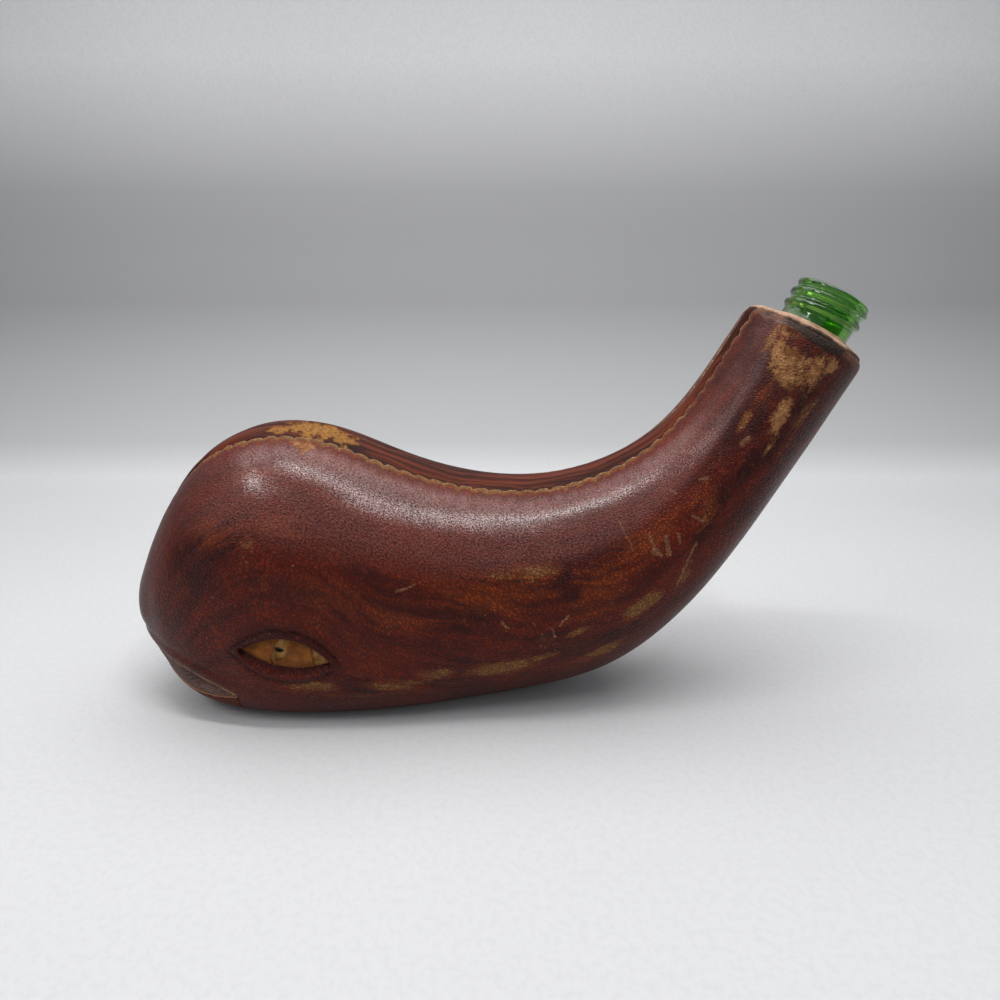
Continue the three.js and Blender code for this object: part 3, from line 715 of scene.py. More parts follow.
jaw_angles = np.linspace(jaw_first_angle, 2 * math.pi - jaw_first_angle, 170)
spots, faces = sheet(even_ribs(jaw_first_rib, jaw_last_rib, 0.7 * mm), jaw_angles)
spots, faces = cut(spots, faces, in_jaw)
within = in_jaw(spots)
outer = jaw_depth(spots) + 0.3 * mm * bump(within, 0.7 * mm) + 0.04 * mm * ragged(spots, 2 * mm, 31)
inner = np.full(len(spots), leather_thickness)
flat = (np.interp(spots[:, 0], rib_samples, run_samples), -skin_point(spots)[:, 1])
fields = {"edge": within / mm, "torn": np.zeros(len(spots)), "dark": bump(within, 0.6 * mm)}
jaw = thick_skin("jaw_band", spots, faces, outer, inner, 1, fields, flat)


# %% A helper for Geometry Nodes trees
def plug(tree, socket, value):
    """Links a socket to another, or sets its value."""
    if isinstance(value, bpy.types.NodeSocket):
        tree.links.new(value, socket)
    else:
        socket.default_value = value


def put(tree, kind, inputs=None, **settings):
    """Adds a node, with its settings and with its inputs by name or number."""
    node = tree.nodes.new(kind)
    for key, value in settings.items():
        setattr(node, key, value)
    for key, value in (inputs or {}).items():
        plug(tree, node.inputs[key], value)
    return node


def geometry_tree(name, inputs):
    """An empty Geometry Nodes tree with named inputs. Returns it with its start and end nodes."""
    tree = bpy.data.node_groups.new(name, "GeometryNodeTree")
    tree.interface.new_socket(name="Geometry", in_out="INPUT", socket_type="NodeSocketGeometry")
    for key, kind in inputs.items():
        tree.interface.new_socket(name=key, in_out="INPUT", socket_type=kind)
    tree.interface.new_socket(name="Geometry", in_out="OUTPUT", socket_type="NodeSocketGeometry")
    return tree, tree.nodes.new("NodeGroupInput").outputs, tree.nodes.new("NodeGroupOutput").inputs


def grow(piece, tree, values):
    """Runs a tree on a piece and keeps what it makes as a plain mesh."""
    modifier = piece.modifiers.new(tree.name, "NODES")
    modifier.node_group = tree
    for item in tree.interface.items_tree:
        if item.item_type == "SOCKET" and item.in_out == "INPUT" and item.name in values:
            modifier[item.identifier] = values[item.name]
    graph = bpy.context.evaluated_depsgraph_get()
    mesh = bpy.data.meshes.new_from_object(piece.evaluated_get(graph), depsgraph=graph)
    piece.modifiers.remove(modifier)
    piece.data = mesh
    mesh.shade_smooth()
    print(piece.name, "has", sum(len(face.vertices) - 2 for face in mesh.polygons), "triangles")
    return piece


tooled_leather = bpy.data.materials.new("tooled_leather")
ridge_leather = bpy.data.materials.new("ridge_leather")
torn_fibre = bpy.data.materials.new("torn_fibre")

# %% Tree for the tooled ridges
ridge_pitch = 1.15 * mm
ridge_radius = 0.3 * mm
ridge_slant = 0.75
ridge_depth = 0.1 * mm
least_ridge_height = 1.2 * mm
ridge_inputs = {"Radius": "NodeSocketFloat", "Sides": "NodeSocketInt", "Material": "NodeSocketMaterial"}
ridge_tree, start, end = geometry_tree("tooled_ridges", ridge_inputs)
path = put(ridge_tree, "GeometryNodeMeshToCurve", {"Mesh": start["Geometry"]})
ring = put(ridge_tree, "GeometryNodeCurvePrimitiveCircle",
           {"Radius": start["Radius"], "Resolution": start["Sides"]})
tube = put(ridge_tree, "GeometryNodeCurveToMesh", {
    "Curve": path.outputs["Curve"],
    "Profile Curve": ring.outputs["Curve"],
    "Fill Caps": True,
})
real = put(ridge_tree, "GeometryNodeRealizeInstances", {"Geometry": tube.outputs["Mesh"]})
painted = put(ridge_tree, "GeometryNodeSetMaterial",
              {"Geometry": real.outputs["Geometry"], "Material": start["Material"]})
plug(ridge_tree, end["Geometry"], painted.outputs["Geometry"])
print("tree for ridges has", len(ridge_tree.nodes), "nodes")

# %% Tooled ridges on the jaw
grid_ribs = np.linspace(jaw_first_rib, jaw_last_rib, 500)
grid_angles = np.linspace(jaw_first_angle, math.pi, 260)
jaw_grid = np.stack(np.meshgrid(grid_ribs, grid_angles, indexing="ij"), -1)
jaw_points = skin_point(jaw_grid)
jaw_inside = in_jaw(jaw_grid)
ridge_points, ridge_edges = [], []
slanted = jaw_points[..., 0] - np.abs(jaw_points[..., 1]) - ridge_slant * jaw_points[..., 2]
for lane_middle in np.arange(slanted[jaw_inside > 0].min(), slanted[jaw_inside > 0].max(), ridge_pitch):
    near = (np.abs(slanted - lane_middle) < 0.12 * mm) & (jaw_inside > 0.55 * mm)
    if near.sum() < 2:
        continue
    heights = jaw_points[..., 2][near]
    rows = np.linspace(heights.min(), heights.max(), 7)
    chosen = jaw_grid[near][[np.abs(heights - row).argmin() for row in rows]]
    if np.ptp(heights) < least_ridge_height:
        continue
    depth = jaw_depth(chosen)[:, None] + ridge_depth
    placed = skin_point(chosen) - skin_normal(chosen) * depth + form_shift
    for mirror in (1, -1):
        ridge_edges += [(len(ridge_points) + i, len(ridge_points) + i + 1) for i in range(len(rows) - 1)]
        ridge_points += (placed * (1, mirror, 1)).tolist()
ridge_mesh = bpy.data.meshes.new("jaw_ridges")
ridge_mesh.from_pydata(ridge_points, ridge_edges, [])
jaw_ridges = bpy.data.objects.new("jaw_ridges", ridge_mesh)
scene.collection.objects.link(jaw_ridges)
grow(jaw_ridges, ridge_tree, {"Radius": ridge_radius, "Sides": 6, "Material": ridge_leather})

# %% [markdown]
# The eye is two layers of leather behind the almond opening. The upper layer is torn in two, and its torn
# edges curl up a little. Through the tear shows a lighter backing with a small hole. All three are cut
# from one fine sheet with ragged fields, because a torn edge looks torn only when the shape itself is
# ragged.

# %% Tears of the eyes' leather
eye_margin = 0.15 * mm
tear_front = -4.9 * mm
tear_rear = 0.7 * mm
rear_end = 9.4 * mm
face_depth = 1.3 * mm
face_thickness = 0.4 * mm
backing_depth = 1.85 * mm
backing_end = 2.35 * mm
hole_along, hole_above = -2.4 * mm, 1.9 * mm
hole_radius = 1.25 * mm
hole_stretch = 1.45
eye_ribs = np.interp(np.arange(60 * mm, 122 * mm, 0.36 * mm), run_samples, rib_samples)
eye_angles = np.radians(np.arange(97, 134, 0.52))


def in_opening(spots):
    return -in_eye(spots)[2] - eye_margin


def tooth(spots, size, seed):
    return ragged(spots, size, seed) * 0.35 * mm


def in_front(spots):
    u, v, _ = in_eye(spots)
    return tear_front + 0.28 * v + 0.5 * mm * np.sin(v / (0.8 * mm)) + tooth(spots, 0.9 * mm, 41) - u


def in_rear(spots):
    u, v, _ = in_eye(spots)
    low = np.clip(1.2 * mm - v, 0, None)
    left = u - (tear_rear - 1.05 * low) + 0.35 * mm * np.sin(v / (0.55 * mm)) + tooth(spots, 0.7 * mm, 43)
    right = rear_end - 0.12 * v + tooth(spots, 1.6 * mm, 44) - u
    return np.minimum(left, right)


def off_hole(spots):
    u, v, _ = in_eye(spots)
    away = np.hypot((u - hole_along) / hole_stretch, v - hole_above)
    return away - hole_radius - 1.4 * tooth(spots, 0.6 * mm, 45)


# %% Leather of the eyes
eye_pieces = {}
for side_name, side in (("left", 1), ("right", -1)):
    for layer, tears in (("front", [in_front]), ("rear", [in_rear]), ("backing", [off_hole])):
        spots, faces = sheet(eye_ribs, eye_angles)
        for field in [in_opening] + tears:
            spots, faces = cut(spots, faces, field)
        u, v, eye_field = in_eye(spots)
        bulge = rise(-eye_field, 0, 3.5 * mm)
        tear_edge = np.maximum(tears[0](spots), 0)
        if layer == "backing":
            outer = backing_depth - 0.15 * mm * bulge + 0.05 * mm * ragged(spots, 0.8 * mm, 51)
            inner = np.full(len(spots), backing_end)
        else:
            curl = 0.35 * mm * bump(tear_edge, 0.9 * mm) * (np.abs(u) < 6 * mm)
            outer = face_depth - 0.55 * mm * bulge - curl + 0.05 * mm * ragged(spots, 1.4 * mm, 52)
            inner = outer + face_thickness
        fields = {"edge": tear_edge / mm, "shade": 1 - rise(-eye_field, 0, 2.2 * mm)}
        name = f"eye_{layer}_hide_{side_name}"
        eye_pieces[layer, side_name] = thick_skin(name, spots, faces, outer, inner, side, fields,
                                                  rounding=0.06 * mm)

# %% [markdown]
# On top of the head the grain of the leather has torn away and left a rough patch, with small loose
# flakes that lie along the body. A tree scatters them over a little patch of the strip with a fixed seed,
# because nobody would place each flake by hand. Every flake is one thin bent leaf of a few faces.

# %% Tree for the flakes
flakes_per_area = 15000.0
flake_inputs = {"Flake": "NodeSocketObject", "Density": "NodeSocketFloat", "Seed": "NodeSocketInt",
                "Material": "NodeSocketMaterial"}
flake_tree, start, end = geometry_tree("torn_flakes", flake_inputs)
scattered = put(flake_tree, "GeometryNodeDistributePointsOnFaces", {
    "Mesh": start["Geometry"],
    "Density": start["Density"],
    "Seed": start["Seed"],
})
leaf = put(flake_tree, "GeometryNodeObjectInfo", {"Object": start["Flake"]}, transform_space="ORIGINAL")
turn_range = {0: (-0.12, -0.16, -0.5), 1: (0.12, 0.1, 0.5), 8: start["Seed"]}
turn = put(flake_tree, "FunctionNodeRandomValue", turn_range, data_type="FLOAT_VECTOR")
scale_range = {0: (0.5, 0.5, 0.7), 1: (1.3, 1.2, 1.2), 8: start["Seed"]}
spread = put(flake_tree, "FunctionNodeRandomValue", scale_range, data_type="FLOAT_VECTOR")
turned_by = {"Rotation": scattered.outputs["Rotation"], "Rotate By": turn.outputs[0]}
aligned = put(flake_tree, "FunctionNodeRotateRotation", turned_by, rotation_space="LOCAL")
placed = put(flake_tree, "GeometryNodeInstanceOnPoints", {
    "Points": scattered.outputs["Points"],
    "Instance": leaf.outputs["Geometry"],
    "Rotation": aligned.outputs["Rotation"],
    "Scale": spread.outputs[0],
})
real = put(flake_tree, "GeometryNodeRealizeInstances", {"Geometry": placed.outputs["Instances"]})
painted = put(flake_tree, "GeometryNodeSetMaterial",
              {"Geometry": real.outputs["Geometry"], "Material": start["Material"]})
plug(flake_tree, end["Geometry"], painted.outputs["Geometry"])
print("tree for flakes has", len(flake_tree.nodes), "nodes")

# %% One flake
flake_points = []
flake_outline = [(-2.6, 0), (-1.5, 0.3), (-0.2, 0.42), (1.1, 0.35), (2.8, 0.1), (1.3, -0.32), (0.2, -0.4),
                 (-1.3, -0.28)]
flake_thickness, flake_bend, flake_lean = 0.16, 0.035, 0.1
for height in (flake_thickness, 0.0):
    for x, y in flake_outline:
        flake_points.append((x * mm, y * mm, (height + flake_bend * x * x + flake_lean * y) * mm))
count = len(flake_outline)
flake_faces = [tuple(range(count)), tuple(range(2 * count - 1, count - 1, -1))]
flake_faces += [((i + 1) % count, i, i + count, (i + 1) % count + count) for i in range(count)]
flake_mesh = bpy.data.meshes.new("flake")
flake_mesh.from_pydata(flake_points, [], flake_faces)
flake = bpy.data.objects.new("flake", flake_mesh)
print("one flake has", len(flake_faces), "faces")


# %% Loose flakes on the torn patch
def in_torn_patch(spots):
    return marks(spots, torn_rows) + 0.3 * ragged(spots, 1.2 * mm, 4) - torn_limits[1]


spots, faces = sheet(np.linspace(4.2, 5.35, 60), np.radians(np.linspace(-24, 20, 60)))
spots, faces = cut(spots, faces, in_torn_patch)
patch_points = skin_point(spots) - skin_normal(spots) * (strip_depth - 0.05 * mm) + form_shift
flakes = smooth_object("torn_flakes", patch_points, faces)
if flakes.data.polygons[0].normal.z < 0:
    flakes.data.flip_normals()
grow(flakes, flake_tree, {"Flake": flake, "Density": flakes_per_area, "Seed": 5, "Material": torn_fibre})
bpy.data.objects.remove(flake)

# %% [markdown]
# At the neck's end a domed leather ring closes the wrap round the glass. It is turned like a washer, so
# it is lofted from rings in the neck's own axes. The glass stands 1.5 mm off the middle of the wrap, as
# the real one does.

# %% Rings in the neck's own axes
finish_offset = 1.5 * mm


def neck_rings(profile, steps, wobble=None):
    """Points of rings round the neck's axis. A profile row holds height, radius and how far it lies off."""
    angles = np.linspace(0, 2 * math.pi, steps, endpoint=False)
    height, radius, lean = [np.array(column)[:, None] for column in zip(*profile)]
    radius = np.repeat(radius, steps, axis=1)
    if wobble is not None:
        radius = radius + wobble(height, angles[None])
    height = np.repeat(height, steps, axis=1)
    back = radius * np.cos(angles) - lean
    left = radius * np.sin(angles)
    return neck_end + height[..., None] * neck_axis + back[..., None] * neck_back + left[..., None] * leftward


def ring_faces(rings, steps, closed):
    """Triangles between rings, each split the same way. A closed row of rings meets itself."""
    index = np.arange(rings * steps).reshape(rings, steps)
    index = np.concatenate([index, index[:, :1]], axis=1)
    if closed:
        index = np.concatenate([index, index[:1]], axis=0)
    return grid_faces(index)


def outward(points, faces):
    volume = np.einsum("ij,ij->", points[faces[:, 0]], np.cross(points[faces[:, 1]], points[faces[:, 2]]))
    return faces if volume > 0 else faces[:, ::-1]


# %% Neck collar
finish_radius = 12.4 * mm
collar_outer_mm = 20.7
collar_width_mm = 8.0
collar_foot = [(-0.7 * mm, 20.1 * mm, 0), (-0.3 * mm, 20.7 * mm, 0), (0.2 * mm, 20.9 * mm, 0)]
collar_underside = [(2.6 * mm, 12.62 * mm, finish_offset), (2.0 * mm, 12.62 * mm, finish_offset),
                    (-0.3 * mm, 19.6 * mm, 0)]
collar_dome = []
for share in np.linspace(0, 1, 46):
    radius = collar_outer_mm - collar_width_mm * share
    groove = 0.12 * bump(np.array(radius - 19.3), 0.2) + 0.1 * bump(np.array(radius - 17.6), 0.2)
    dome = 0.7 + 1.8 * share ** 0.9 + 0.3 * math.sin(math.pi * min(share * 3, 1)) - float(groove)
    lip = 0.8 * float(rise(np.array(share), 0.88, 0.97))
    collar_dome.append(((dome + lip) * mm, radius * mm, finish_offset * share))
collar_profile = collar_foot + collar_dome + collar_underside
collar_steps = 160


def collar_wobble(height, angles):
    return 0.10 * mm * np.sin(3 * angles + 1) + 0.06 * mm * np.sin(7 * angles + 300 * height)


collar_points = neck_rings(collar_profile, collar_steps, collar_wobble).reshape(-1, 3) + form_shift
collar_faces = outward(collar_points, ring_faces(len(collar_profile), collar_steps, True))
collar_radius = np.repeat([row[1] / mm for row in collar_profile], collar_steps)
collar = smooth_object("collar_ring", collar_points, collar_faces, {"radius": collar_radius})
print("collar has", len(collar_faces), "triangles")

# %% [markdown]
# The bottle is one piece of green glass with a right-hand screw thread. The thread is no separate coil:
# the wall swells where the thread's line passes, fades out at both ends, and has the round corners of
# glass that was blown into a mould. The wall has a true inside, because clear glass looks wrong when it
# is only a skin.

# %% Thread and body of the bottle
finish_height = 16.8 * mm
rim_round = 1.0 * mm
mouth_round = 0.9 * mm
rim_start = finish_height - rim_round
finish_foot_mm = 2.2
bore_radius = 9.0 * mm
thread_height = 1.25 * mm
thread_pitch = 4.2 * mm
thread_half_width = 1.25 * mm
thread_middle = 8.9 * mm
glass_depth = leather_thickness + clearance
glass_wall = 3.2 * mm
glass_steps = 144


def thread(height, angles):
    """The swell of the thread over the plain finish, and of the rim's bead."""
    swell = np.zeros(np.broadcast(height, angles).shape)
    for turn_number in range(-1, 3):
        turned = angles + 2 * math.pi * turn_number
        centre = thread_middle + thread_pitch * (turned - math.pi / 2) / (2 * math.pi)
        fade = rise(turned, -0.9, -0.2) * (1 - rise(turned, 2 * math.pi + 3.1, 2 * math.pi + 3.9))
        off = np.abs(height - centre) / thread_half_width
        swell = np.maximum(swell, fade * np.exp(-off ** 3.2))
    bead = 0.55 * np.exp(-(np.abs(height - rim_start) / (1.2 * mm)) ** 3)
    return thread_height * np.maximum(swell, bead)


def body_ring(rib, depth):
    angles = np.linspace(0, 2 * math.pi, glass_steps, endpoint=False)
    spots = np.stack([np.full_like(angles, rib), angles], -1)
    return skin_point(spots) - skin_normal(spots) * depth


# %% Profiles of the finish and its bore
finish_profile = [(height * mm, finish_radius, finish_offset)
                  for height in np.arange(finish_foot_mm, rim_start / mm, 0.22)]
for a in np.linspace(0.2, math.pi / 2, 6):
    rim_radius = finish_radius - rim_round * (1 - math.cos(a))
    finish_profile.append((rim_start + rim_round * math.sin(a), rim_radius, finish_offset))
bore_profile = []
for a in np.linspace(0, math.pi / 2, 6):
    mouth_radius = bore_radius + mouth_round * (1 - math.sin(a))
    bore_profile.append((finish_height - mouth_round * (1 - math.cos(a)), mouth_radius, finish_offset))
bore_profile += [(height * mm, bore_radius, finish_offset) for height in np.arange(15.0, -1.2, -1.2)]
print("rings of the finish and bore:", len(finish_profile) + len(bore_profile))

# %% Glass bottle
outer_body = [body_ring(rib, glass_depth) for rib in np.linspace(0.3, rib_count, 40)]
inner_body = [body_ring(rib, glass_depth + glass_wall) for rib in np.linspace(12.6, 0.5, 36)]
shoulder_profile = [(0.5 * mm, 17.6 * mm, 0.5 * mm), (1.2 * mm, 14.9 * mm, 1.0 * mm),
                    (1.7 * mm, 12.9 * mm, finish_offset)]
shoulder = neck_rings(shoulder_profile, glass_steps)
finish_rings = neck_rings(finish_profile, glass_steps, thread)
bore_rings = neck_rings(bore_profile, glass_steps)
glass_rings = np.concatenate([outer_body, shoulder, finish_rings, bore_rings, inner_body])
glass_points = glass_rings.reshape(-1, 3)
glass_faces = ring_faces(len(glass_rings), glass_steps, False)
poles = np.array([glass_rings[0].mean(0) - (0.6 * mm, 0, 0), glass_rings[-1].mean(0)])
here = np.arange(glass_steps)
ahead = (here + 1) % glass_steps
first_fan = np.stack([np.full(glass_steps, len(glass_points)), here, ahead], -1)
last_start = (len(glass_rings) - 1) * glass_steps
last_pole = np.full(glass_steps, len(glass_points) + 1)
last_fan = np.stack([last_pole, last_start + ahead, last_start + here], -1)
glass_points = np.concatenate([glass_points, poles]) + form_shift
glass_faces = outward(glass_points, np.concatenate([glass_faces, first_fan, last_fan]))
glass_height = (glass_points - form_shift - neck_end) @ neck_axis / mm
glass_back = (glass_points - form_shift - neck_end) @ neck_back / mm
glass = smooth_object("green_bottle", glass_points, glass_faces, {"height": glass_height, "back": glass_back})
glass.data.set_sharp_from_angle(angle=math.radians(80))
print("bottle has", len(glass_faces), "triangles")

# %% [markdown]
# Leather gets its look from a few effects that all the pieces share: a fine pebbled grain, streaks of dye
# along the hide, wear with a ragged outline, and thin scratches. Each is a node group with named inputs,
# so that one change reaches every piece, and each puts out only a mask or a height. The shader itself
# stays in the material.


# %% Helpers for shader groups
mm_per_metre = 1000.0
mm_per_dm = 100.0


def shader_group(name, inputs, outputs):
    """An empty shader group with named inputs and float outputs. Returns it with its start and end nodes."""
    tree = bpy.data.node_groups.new(name, "ShaderNodeTree")
    for key, value in inputs.items():
        kind = "NodeSocketVector" if value is None else "NodeSocketFloat"
        socket = tree.interface.new_socket(name=key, in_out="INPUT", socket_type=kind)
        if value is not None:
            socket.default_value = value
    for key in outputs:
        tree.interface.new_socket(name=key, in_out="OUTPUT", socket_type="NodeSocketFloat")
    return tree, tree.nodes.new("NodeGroupInput").outputs, tree.nodes.new("NodeGroupOutput").inputs


def calc(tree, operation, *values, clamp=False):
    """One Math node. Returns its result."""
    return put(tree, "ShaderNodeMath", dict(enumerate(values)), operation=operation,
               use_clamp=clamp).outputs[0]


def times(tree, value, factor, clamp=False):
    return calc(tree, "MULTIPLY", value, factor, clamp=clamp)


def soft_step(tree, value, low, high):
    """0 below low, 1 above high and smooth between."""
    limits = {"Value": value, "From Min": low, "From Max": high}
    return put(tree, "ShaderNodeMapRange", limits, interpolation_type="SMOOTHSTEP").outputs["Result"]


def noise(tree, vector, scale, detail=3.0, rough=0.55):
    inputs = {"Vector": vector, "Scale": scale, "Detail": detail, "Roughness": rough}
    return put(tree, "ShaderNodeTexNoise", inputs).outputs[0]


def vectors(tree, operation, *values):
    """One Vector Math node. Returns its outputs."""
    return put(tree, "ShaderNodeVectorMath", dict(enumerate(values)), operation=operation).outputs


def stretched(tree, vector, scale):
    return vectors(tree, "MULTIPLY", vector, scale)[0]


def turned_flat(tree, vector, angle):
    return put(tree, "ShaderNodeVectorRotate", {"Vector": vector, "Angle": angle},
               rotation_type="Z_AXIS").outputs[0]


# %% Group: pebbled grain
grain_inputs = {"Vector": None, "Unit mm": mm_per_metre, "Cell mm": 0.9, "Turn": 0.0, "Stretch": 1.0}
tree, start, end = shader_group("pebbled_grain", grain_inputs, ["Height", "Creases"])
grain_group = tree
turned = turned_flat(tree, start["Vector"], start["Turn"])
parts = put(tree, "ShaderNodeSeparateXYZ", {"Vector": turned}).outputs
place = put(tree, "ShaderNodeCombineXYZ", {
    "X": calc(tree, "DIVIDE", parts["X"], start["Stretch"]),
    "Y": parts["Y"],
    "Z": parts["Z"],
}).outputs[0]
per_unit = calc(tree, "DIVIDE", start["Unit mm"], start["Cell mm"])
cells = put(tree, "ShaderNodeTexVoronoi", {"Vector": place, "Scale": per_unit}, feature="DISTANCE_TO_EDGE")
pebble = soft_step(tree, cells.outputs["Distance"], 0.0, 0.32)
small = noise(tree, place, times(tree, per_unit, 1.7), 3.0)
large = noise(tree, place, times(tree, per_unit, 0.22), 2.0)
height = calc(tree, "MULTIPLY_ADD", pebble, 0.6, times(tree, small, 0.9))
plug(tree, end["Height"], calc(tree, "MULTIPLY_ADD", large, 0.7, height))
plug(tree, end["Creases"], calc(tree, "SUBTRACT", 1.0, times(tree, pebble, small), clamp=True))
print("pebbled grain has", len(tree.nodes), "nodes")

# %% Group: streaks of dye along the hide
streak_inputs = {"Vector": None, "Length mm": 60.0, "Width mm": 8.0, "Shift": 0.0}
tree, start, end = shader_group("dye_streaks", streak_inputs, ["Mask"])
streak_group = tree
parts = put(tree, "ShaderNodeSeparateXYZ", {"Vector": start["Vector"]}).outputs
sway = noise(tree, start["Vector"], 2.2, 2.0)
sideways = calc(tree, "MULTIPLY_ADD", sway, 0.16, parts["Y"])
place = put(tree, "ShaderNodeCombineXYZ", {
    "X": times(tree, parts["X"], calc(tree, "DIVIDE", mm_per_dm, start["Length mm"])),
    "Y": times(tree, sideways, calc(tree, "DIVIDE", mm_per_dm, start["Width mm"])),
    "Z": start["Shift"],
}).outputs[0]
plug(tree, end["Mask"], noise(tree, place, 1.0, 4.0, 0.6))
print("dye streaks have", len(tree.nodes), "nodes")

# %% Group: wear with a ragged outline
wear_inputs = {"Vector": None, "Mark": 0.0, "Size mm": 3.0, "Stretch": 2.5, "Level": 0.62}
tree, start, end = shader_group("ragged_wear", wear_inputs, ["Mask"])
wear_group = tree
parts = put(tree, "ShaderNodeSeparateXYZ", {"Vector": start["Vector"]}).outputs
per_dm = calc(tree, "DIVIDE", mm_per_dm, start["Size mm"])
place = put(tree, "ShaderNodeCombineXYZ", {
    "X": times(tree, parts["X"], calc(tree, "DIVIDE", per_dm, start["Stretch"])),
    "Y": times(tree, parts["Y"], per_dm),
    "Z": 0.0,
}).outputs[0]
crumbs = noise(tree, place, 1.0, 6.0, 0.68)
grit = noise(tree, place, 5.0, 3.0, 0.7)
total = calc(tree, "ADD", start["Mark"], calc(tree, "MULTIPLY_ADD", crumbs, 1.5, -0.75))
total = calc(tree, "ADD", total, calc(tree, "MULTIPLY_ADD", grit, 0.9, -0.45))
low = start["Level"]
plug(tree, end["Mask"], soft_step(tree, total, low, calc(tree, "ADD", low, 0.34)))
print("ragged wear has", len(tree.nodes), "nodes")

# %% Group: one scratch
stroke_inputs = {"Vector": None, "From": None, "To": None, "Width mm": 0.5}
tree, start, end = shader_group("one_scratch", stroke_inputs, ["Mask"])
stroke_group = tree
shake = put(tree, "ShaderNodeTexNoise",
            {"Vector": start["Vector"], "Scale": 34.0, "Detail": 5.0}).outputs["Color"]
shaken = vectors(tree, "MULTIPLY_ADD", shake, (0.022, 0.022, 0), start["Vector"])[0]
here = vectors(tree, "SUBTRACT", shaken, start["From"])[0]
whole = vectors(tree, "SUBTRACT", start["To"], start["From"])[0]
dots = [vectors(tree, "DOT_PRODUCT", a, whole)["Value"] for a in (here, whole)]
share = calc(tree, "DIVIDE", *dots, clamp=True)
onto = put(tree, "ShaderNodeVectorMath", {0: whole, "Scale": share}, operation="SCALE").outputs[0]
away = vectors(tree, "DISTANCE", here, onto)["Value"]
width = calc(tree, "DIVIDE", start["Width mm"], mm_per_dm)
crumbs = noise(tree, start["Vector"], 240.0, 3.0, 0.7)
line = calc(tree, "SUBTRACT", 1.0, calc(tree, "DIVIDE", away, width))
plug(tree, end["Mask"], soft_step(tree, calc(tree, "MULTIPLY_ADD", crumbs, 2.4, line), 1.3, 1.75))
print("one scratch has", len(tree.nodes), "nodes")

# %% Group: many fine scratches
tree, start, end = shader_group("fine_scratches", {"Vector": None, "Turn": 0.3, "Amount": 0.5}, ["Mask"])
scratch_group = tree
long_place = stretched(tree, turned_flat(tree, start["Vector"], start["Turn"]), (5.0, 60.0, 1.0))
hair = noise(tree, long_place, 1.0, 2.0)
off_line = calc(tree, "ABSOLUTE", calc(tree, "SUBTRACT", hair, 0.5))
thin = calc(tree, "MULTIPLY_ADD", off_line, -60.0, 1.0, clamp=True)
where = soft_step(tree, noise(tree, start["Vector"], 9.0, 3.0), 0.56, 0.66)
plug(tree, end["Mask"], times(tree, times(tree, thin, where), start["Amount"]))
print("groups:", len(bpy.data.node_groups))


# %% Helpers for materials
def begin_material(material, **constants):
    """Empties a material and gives it a Principled shader with constant inputs."""
    material.use_nodes = True
    tree = material.node_tree
    tree.nodes.clear()
    shader = tree.nodes.new("ShaderNodeBsdfPrincipled")
    output = tree.nodes.new("ShaderNodeOutputMaterial")
    tree.links.new(shader.outputs["BSDF"], output.inputs["Surface"])
    for key, value in constants.items():
        shader.inputs[key.replace("_", " ")].default_value = value
    return tree, shader.inputs


def group(tree, kind, output, **inputs):
    """Places a group with its own values. Returns one output."""
    node = tree.nodes.new("ShaderNodeGroup")
    node.node_tree = kind
    for key, value in inputs.items():
        plug(tree, node.inputs[key.replace("_", " ")], value)
    return node.outputs[output]


def over(tree, colour, mask, paint, strength=None):
    """Lays a paint over a colour where the mask is, at a strength from 0 to 1."""
    if strength is not None:
        mask = times(tree, mask, strength)
    paints = [value if isinstance(value, bpy.types.NodeSocket) else (*value, 1) for value in (colour, paint)]
    return put(tree, "ShaderNodeMix", {0: mask, 6: paints[0], 7: paints[1]}, data_type="RGBA").outputs[2]


def mark_of(tree, name):
    return put(tree, "ShaderNodeAttribute", attribute_name=name).outputs["Fac"]


def hide_place(tree):
    return put(tree, "ShaderNodeUVMap", uv_map="hide").outputs[0]


def object_place(tree):
    return put(tree, "ShaderNodeTexCoord").outputs["Object"]


def emboss(tree, normal, height, depth, strength):
    """Feeds a shader's normal with a bump of this depth."""
    bumped = put(tree, "ShaderNodeBump", {"Height": height, "Distance": depth, "Strength": strength})
    plug(tree, normal, bumped.outputs[0])


# %% Paints of the leather
# Red, green and blue from 0 to 1, as shares of the light that the paint sends back.
deep_brown = (0.045, 0.0045, 0.0022)
red_brown = (0.190, 0.0170, 0.0024)
warm_orange = (0.320, 0.054, 0.0050)
# Painted reflection of the pale floor on the lower flank.
floor_reflection_purple = (0.110, 0.037, 0.028)
ochre = (0.350, 0.165, 0.045)
raw_tan = (0.460, 0.225, 0.085)
pale_edge = (0.600, 0.340, 0.190)
# Black for the dyed lids, and for painted shade in creases and hollows.
black_dye_and_shade = (0.014, 0.006, 0.007)
# Painted sheen: a paler pink where the coat shines.
painted_sheen_pink = (0.230, 0.056, 0.038)
bare_brown = (0.190, 0.070, 0.020)
# Painted shade of the lower lid's inner wall.
wall_shade_brown = (0.055, 0.009, 0.008)
brim_tan = (0.250, 0.105, 0.050)
damp_black = (0.012, 0.014, 0.007)
stroke_tan = (0.42, 0.21, 0.10)
fibre_dark = (0.10, 0.030, 0.008)
fibre_light = (0.38, 0.19, 0.055)
shade_brown = (0.075, 0.024, 0.008)
print("darkest and lightest paint:", deep_brown, pale_edge)
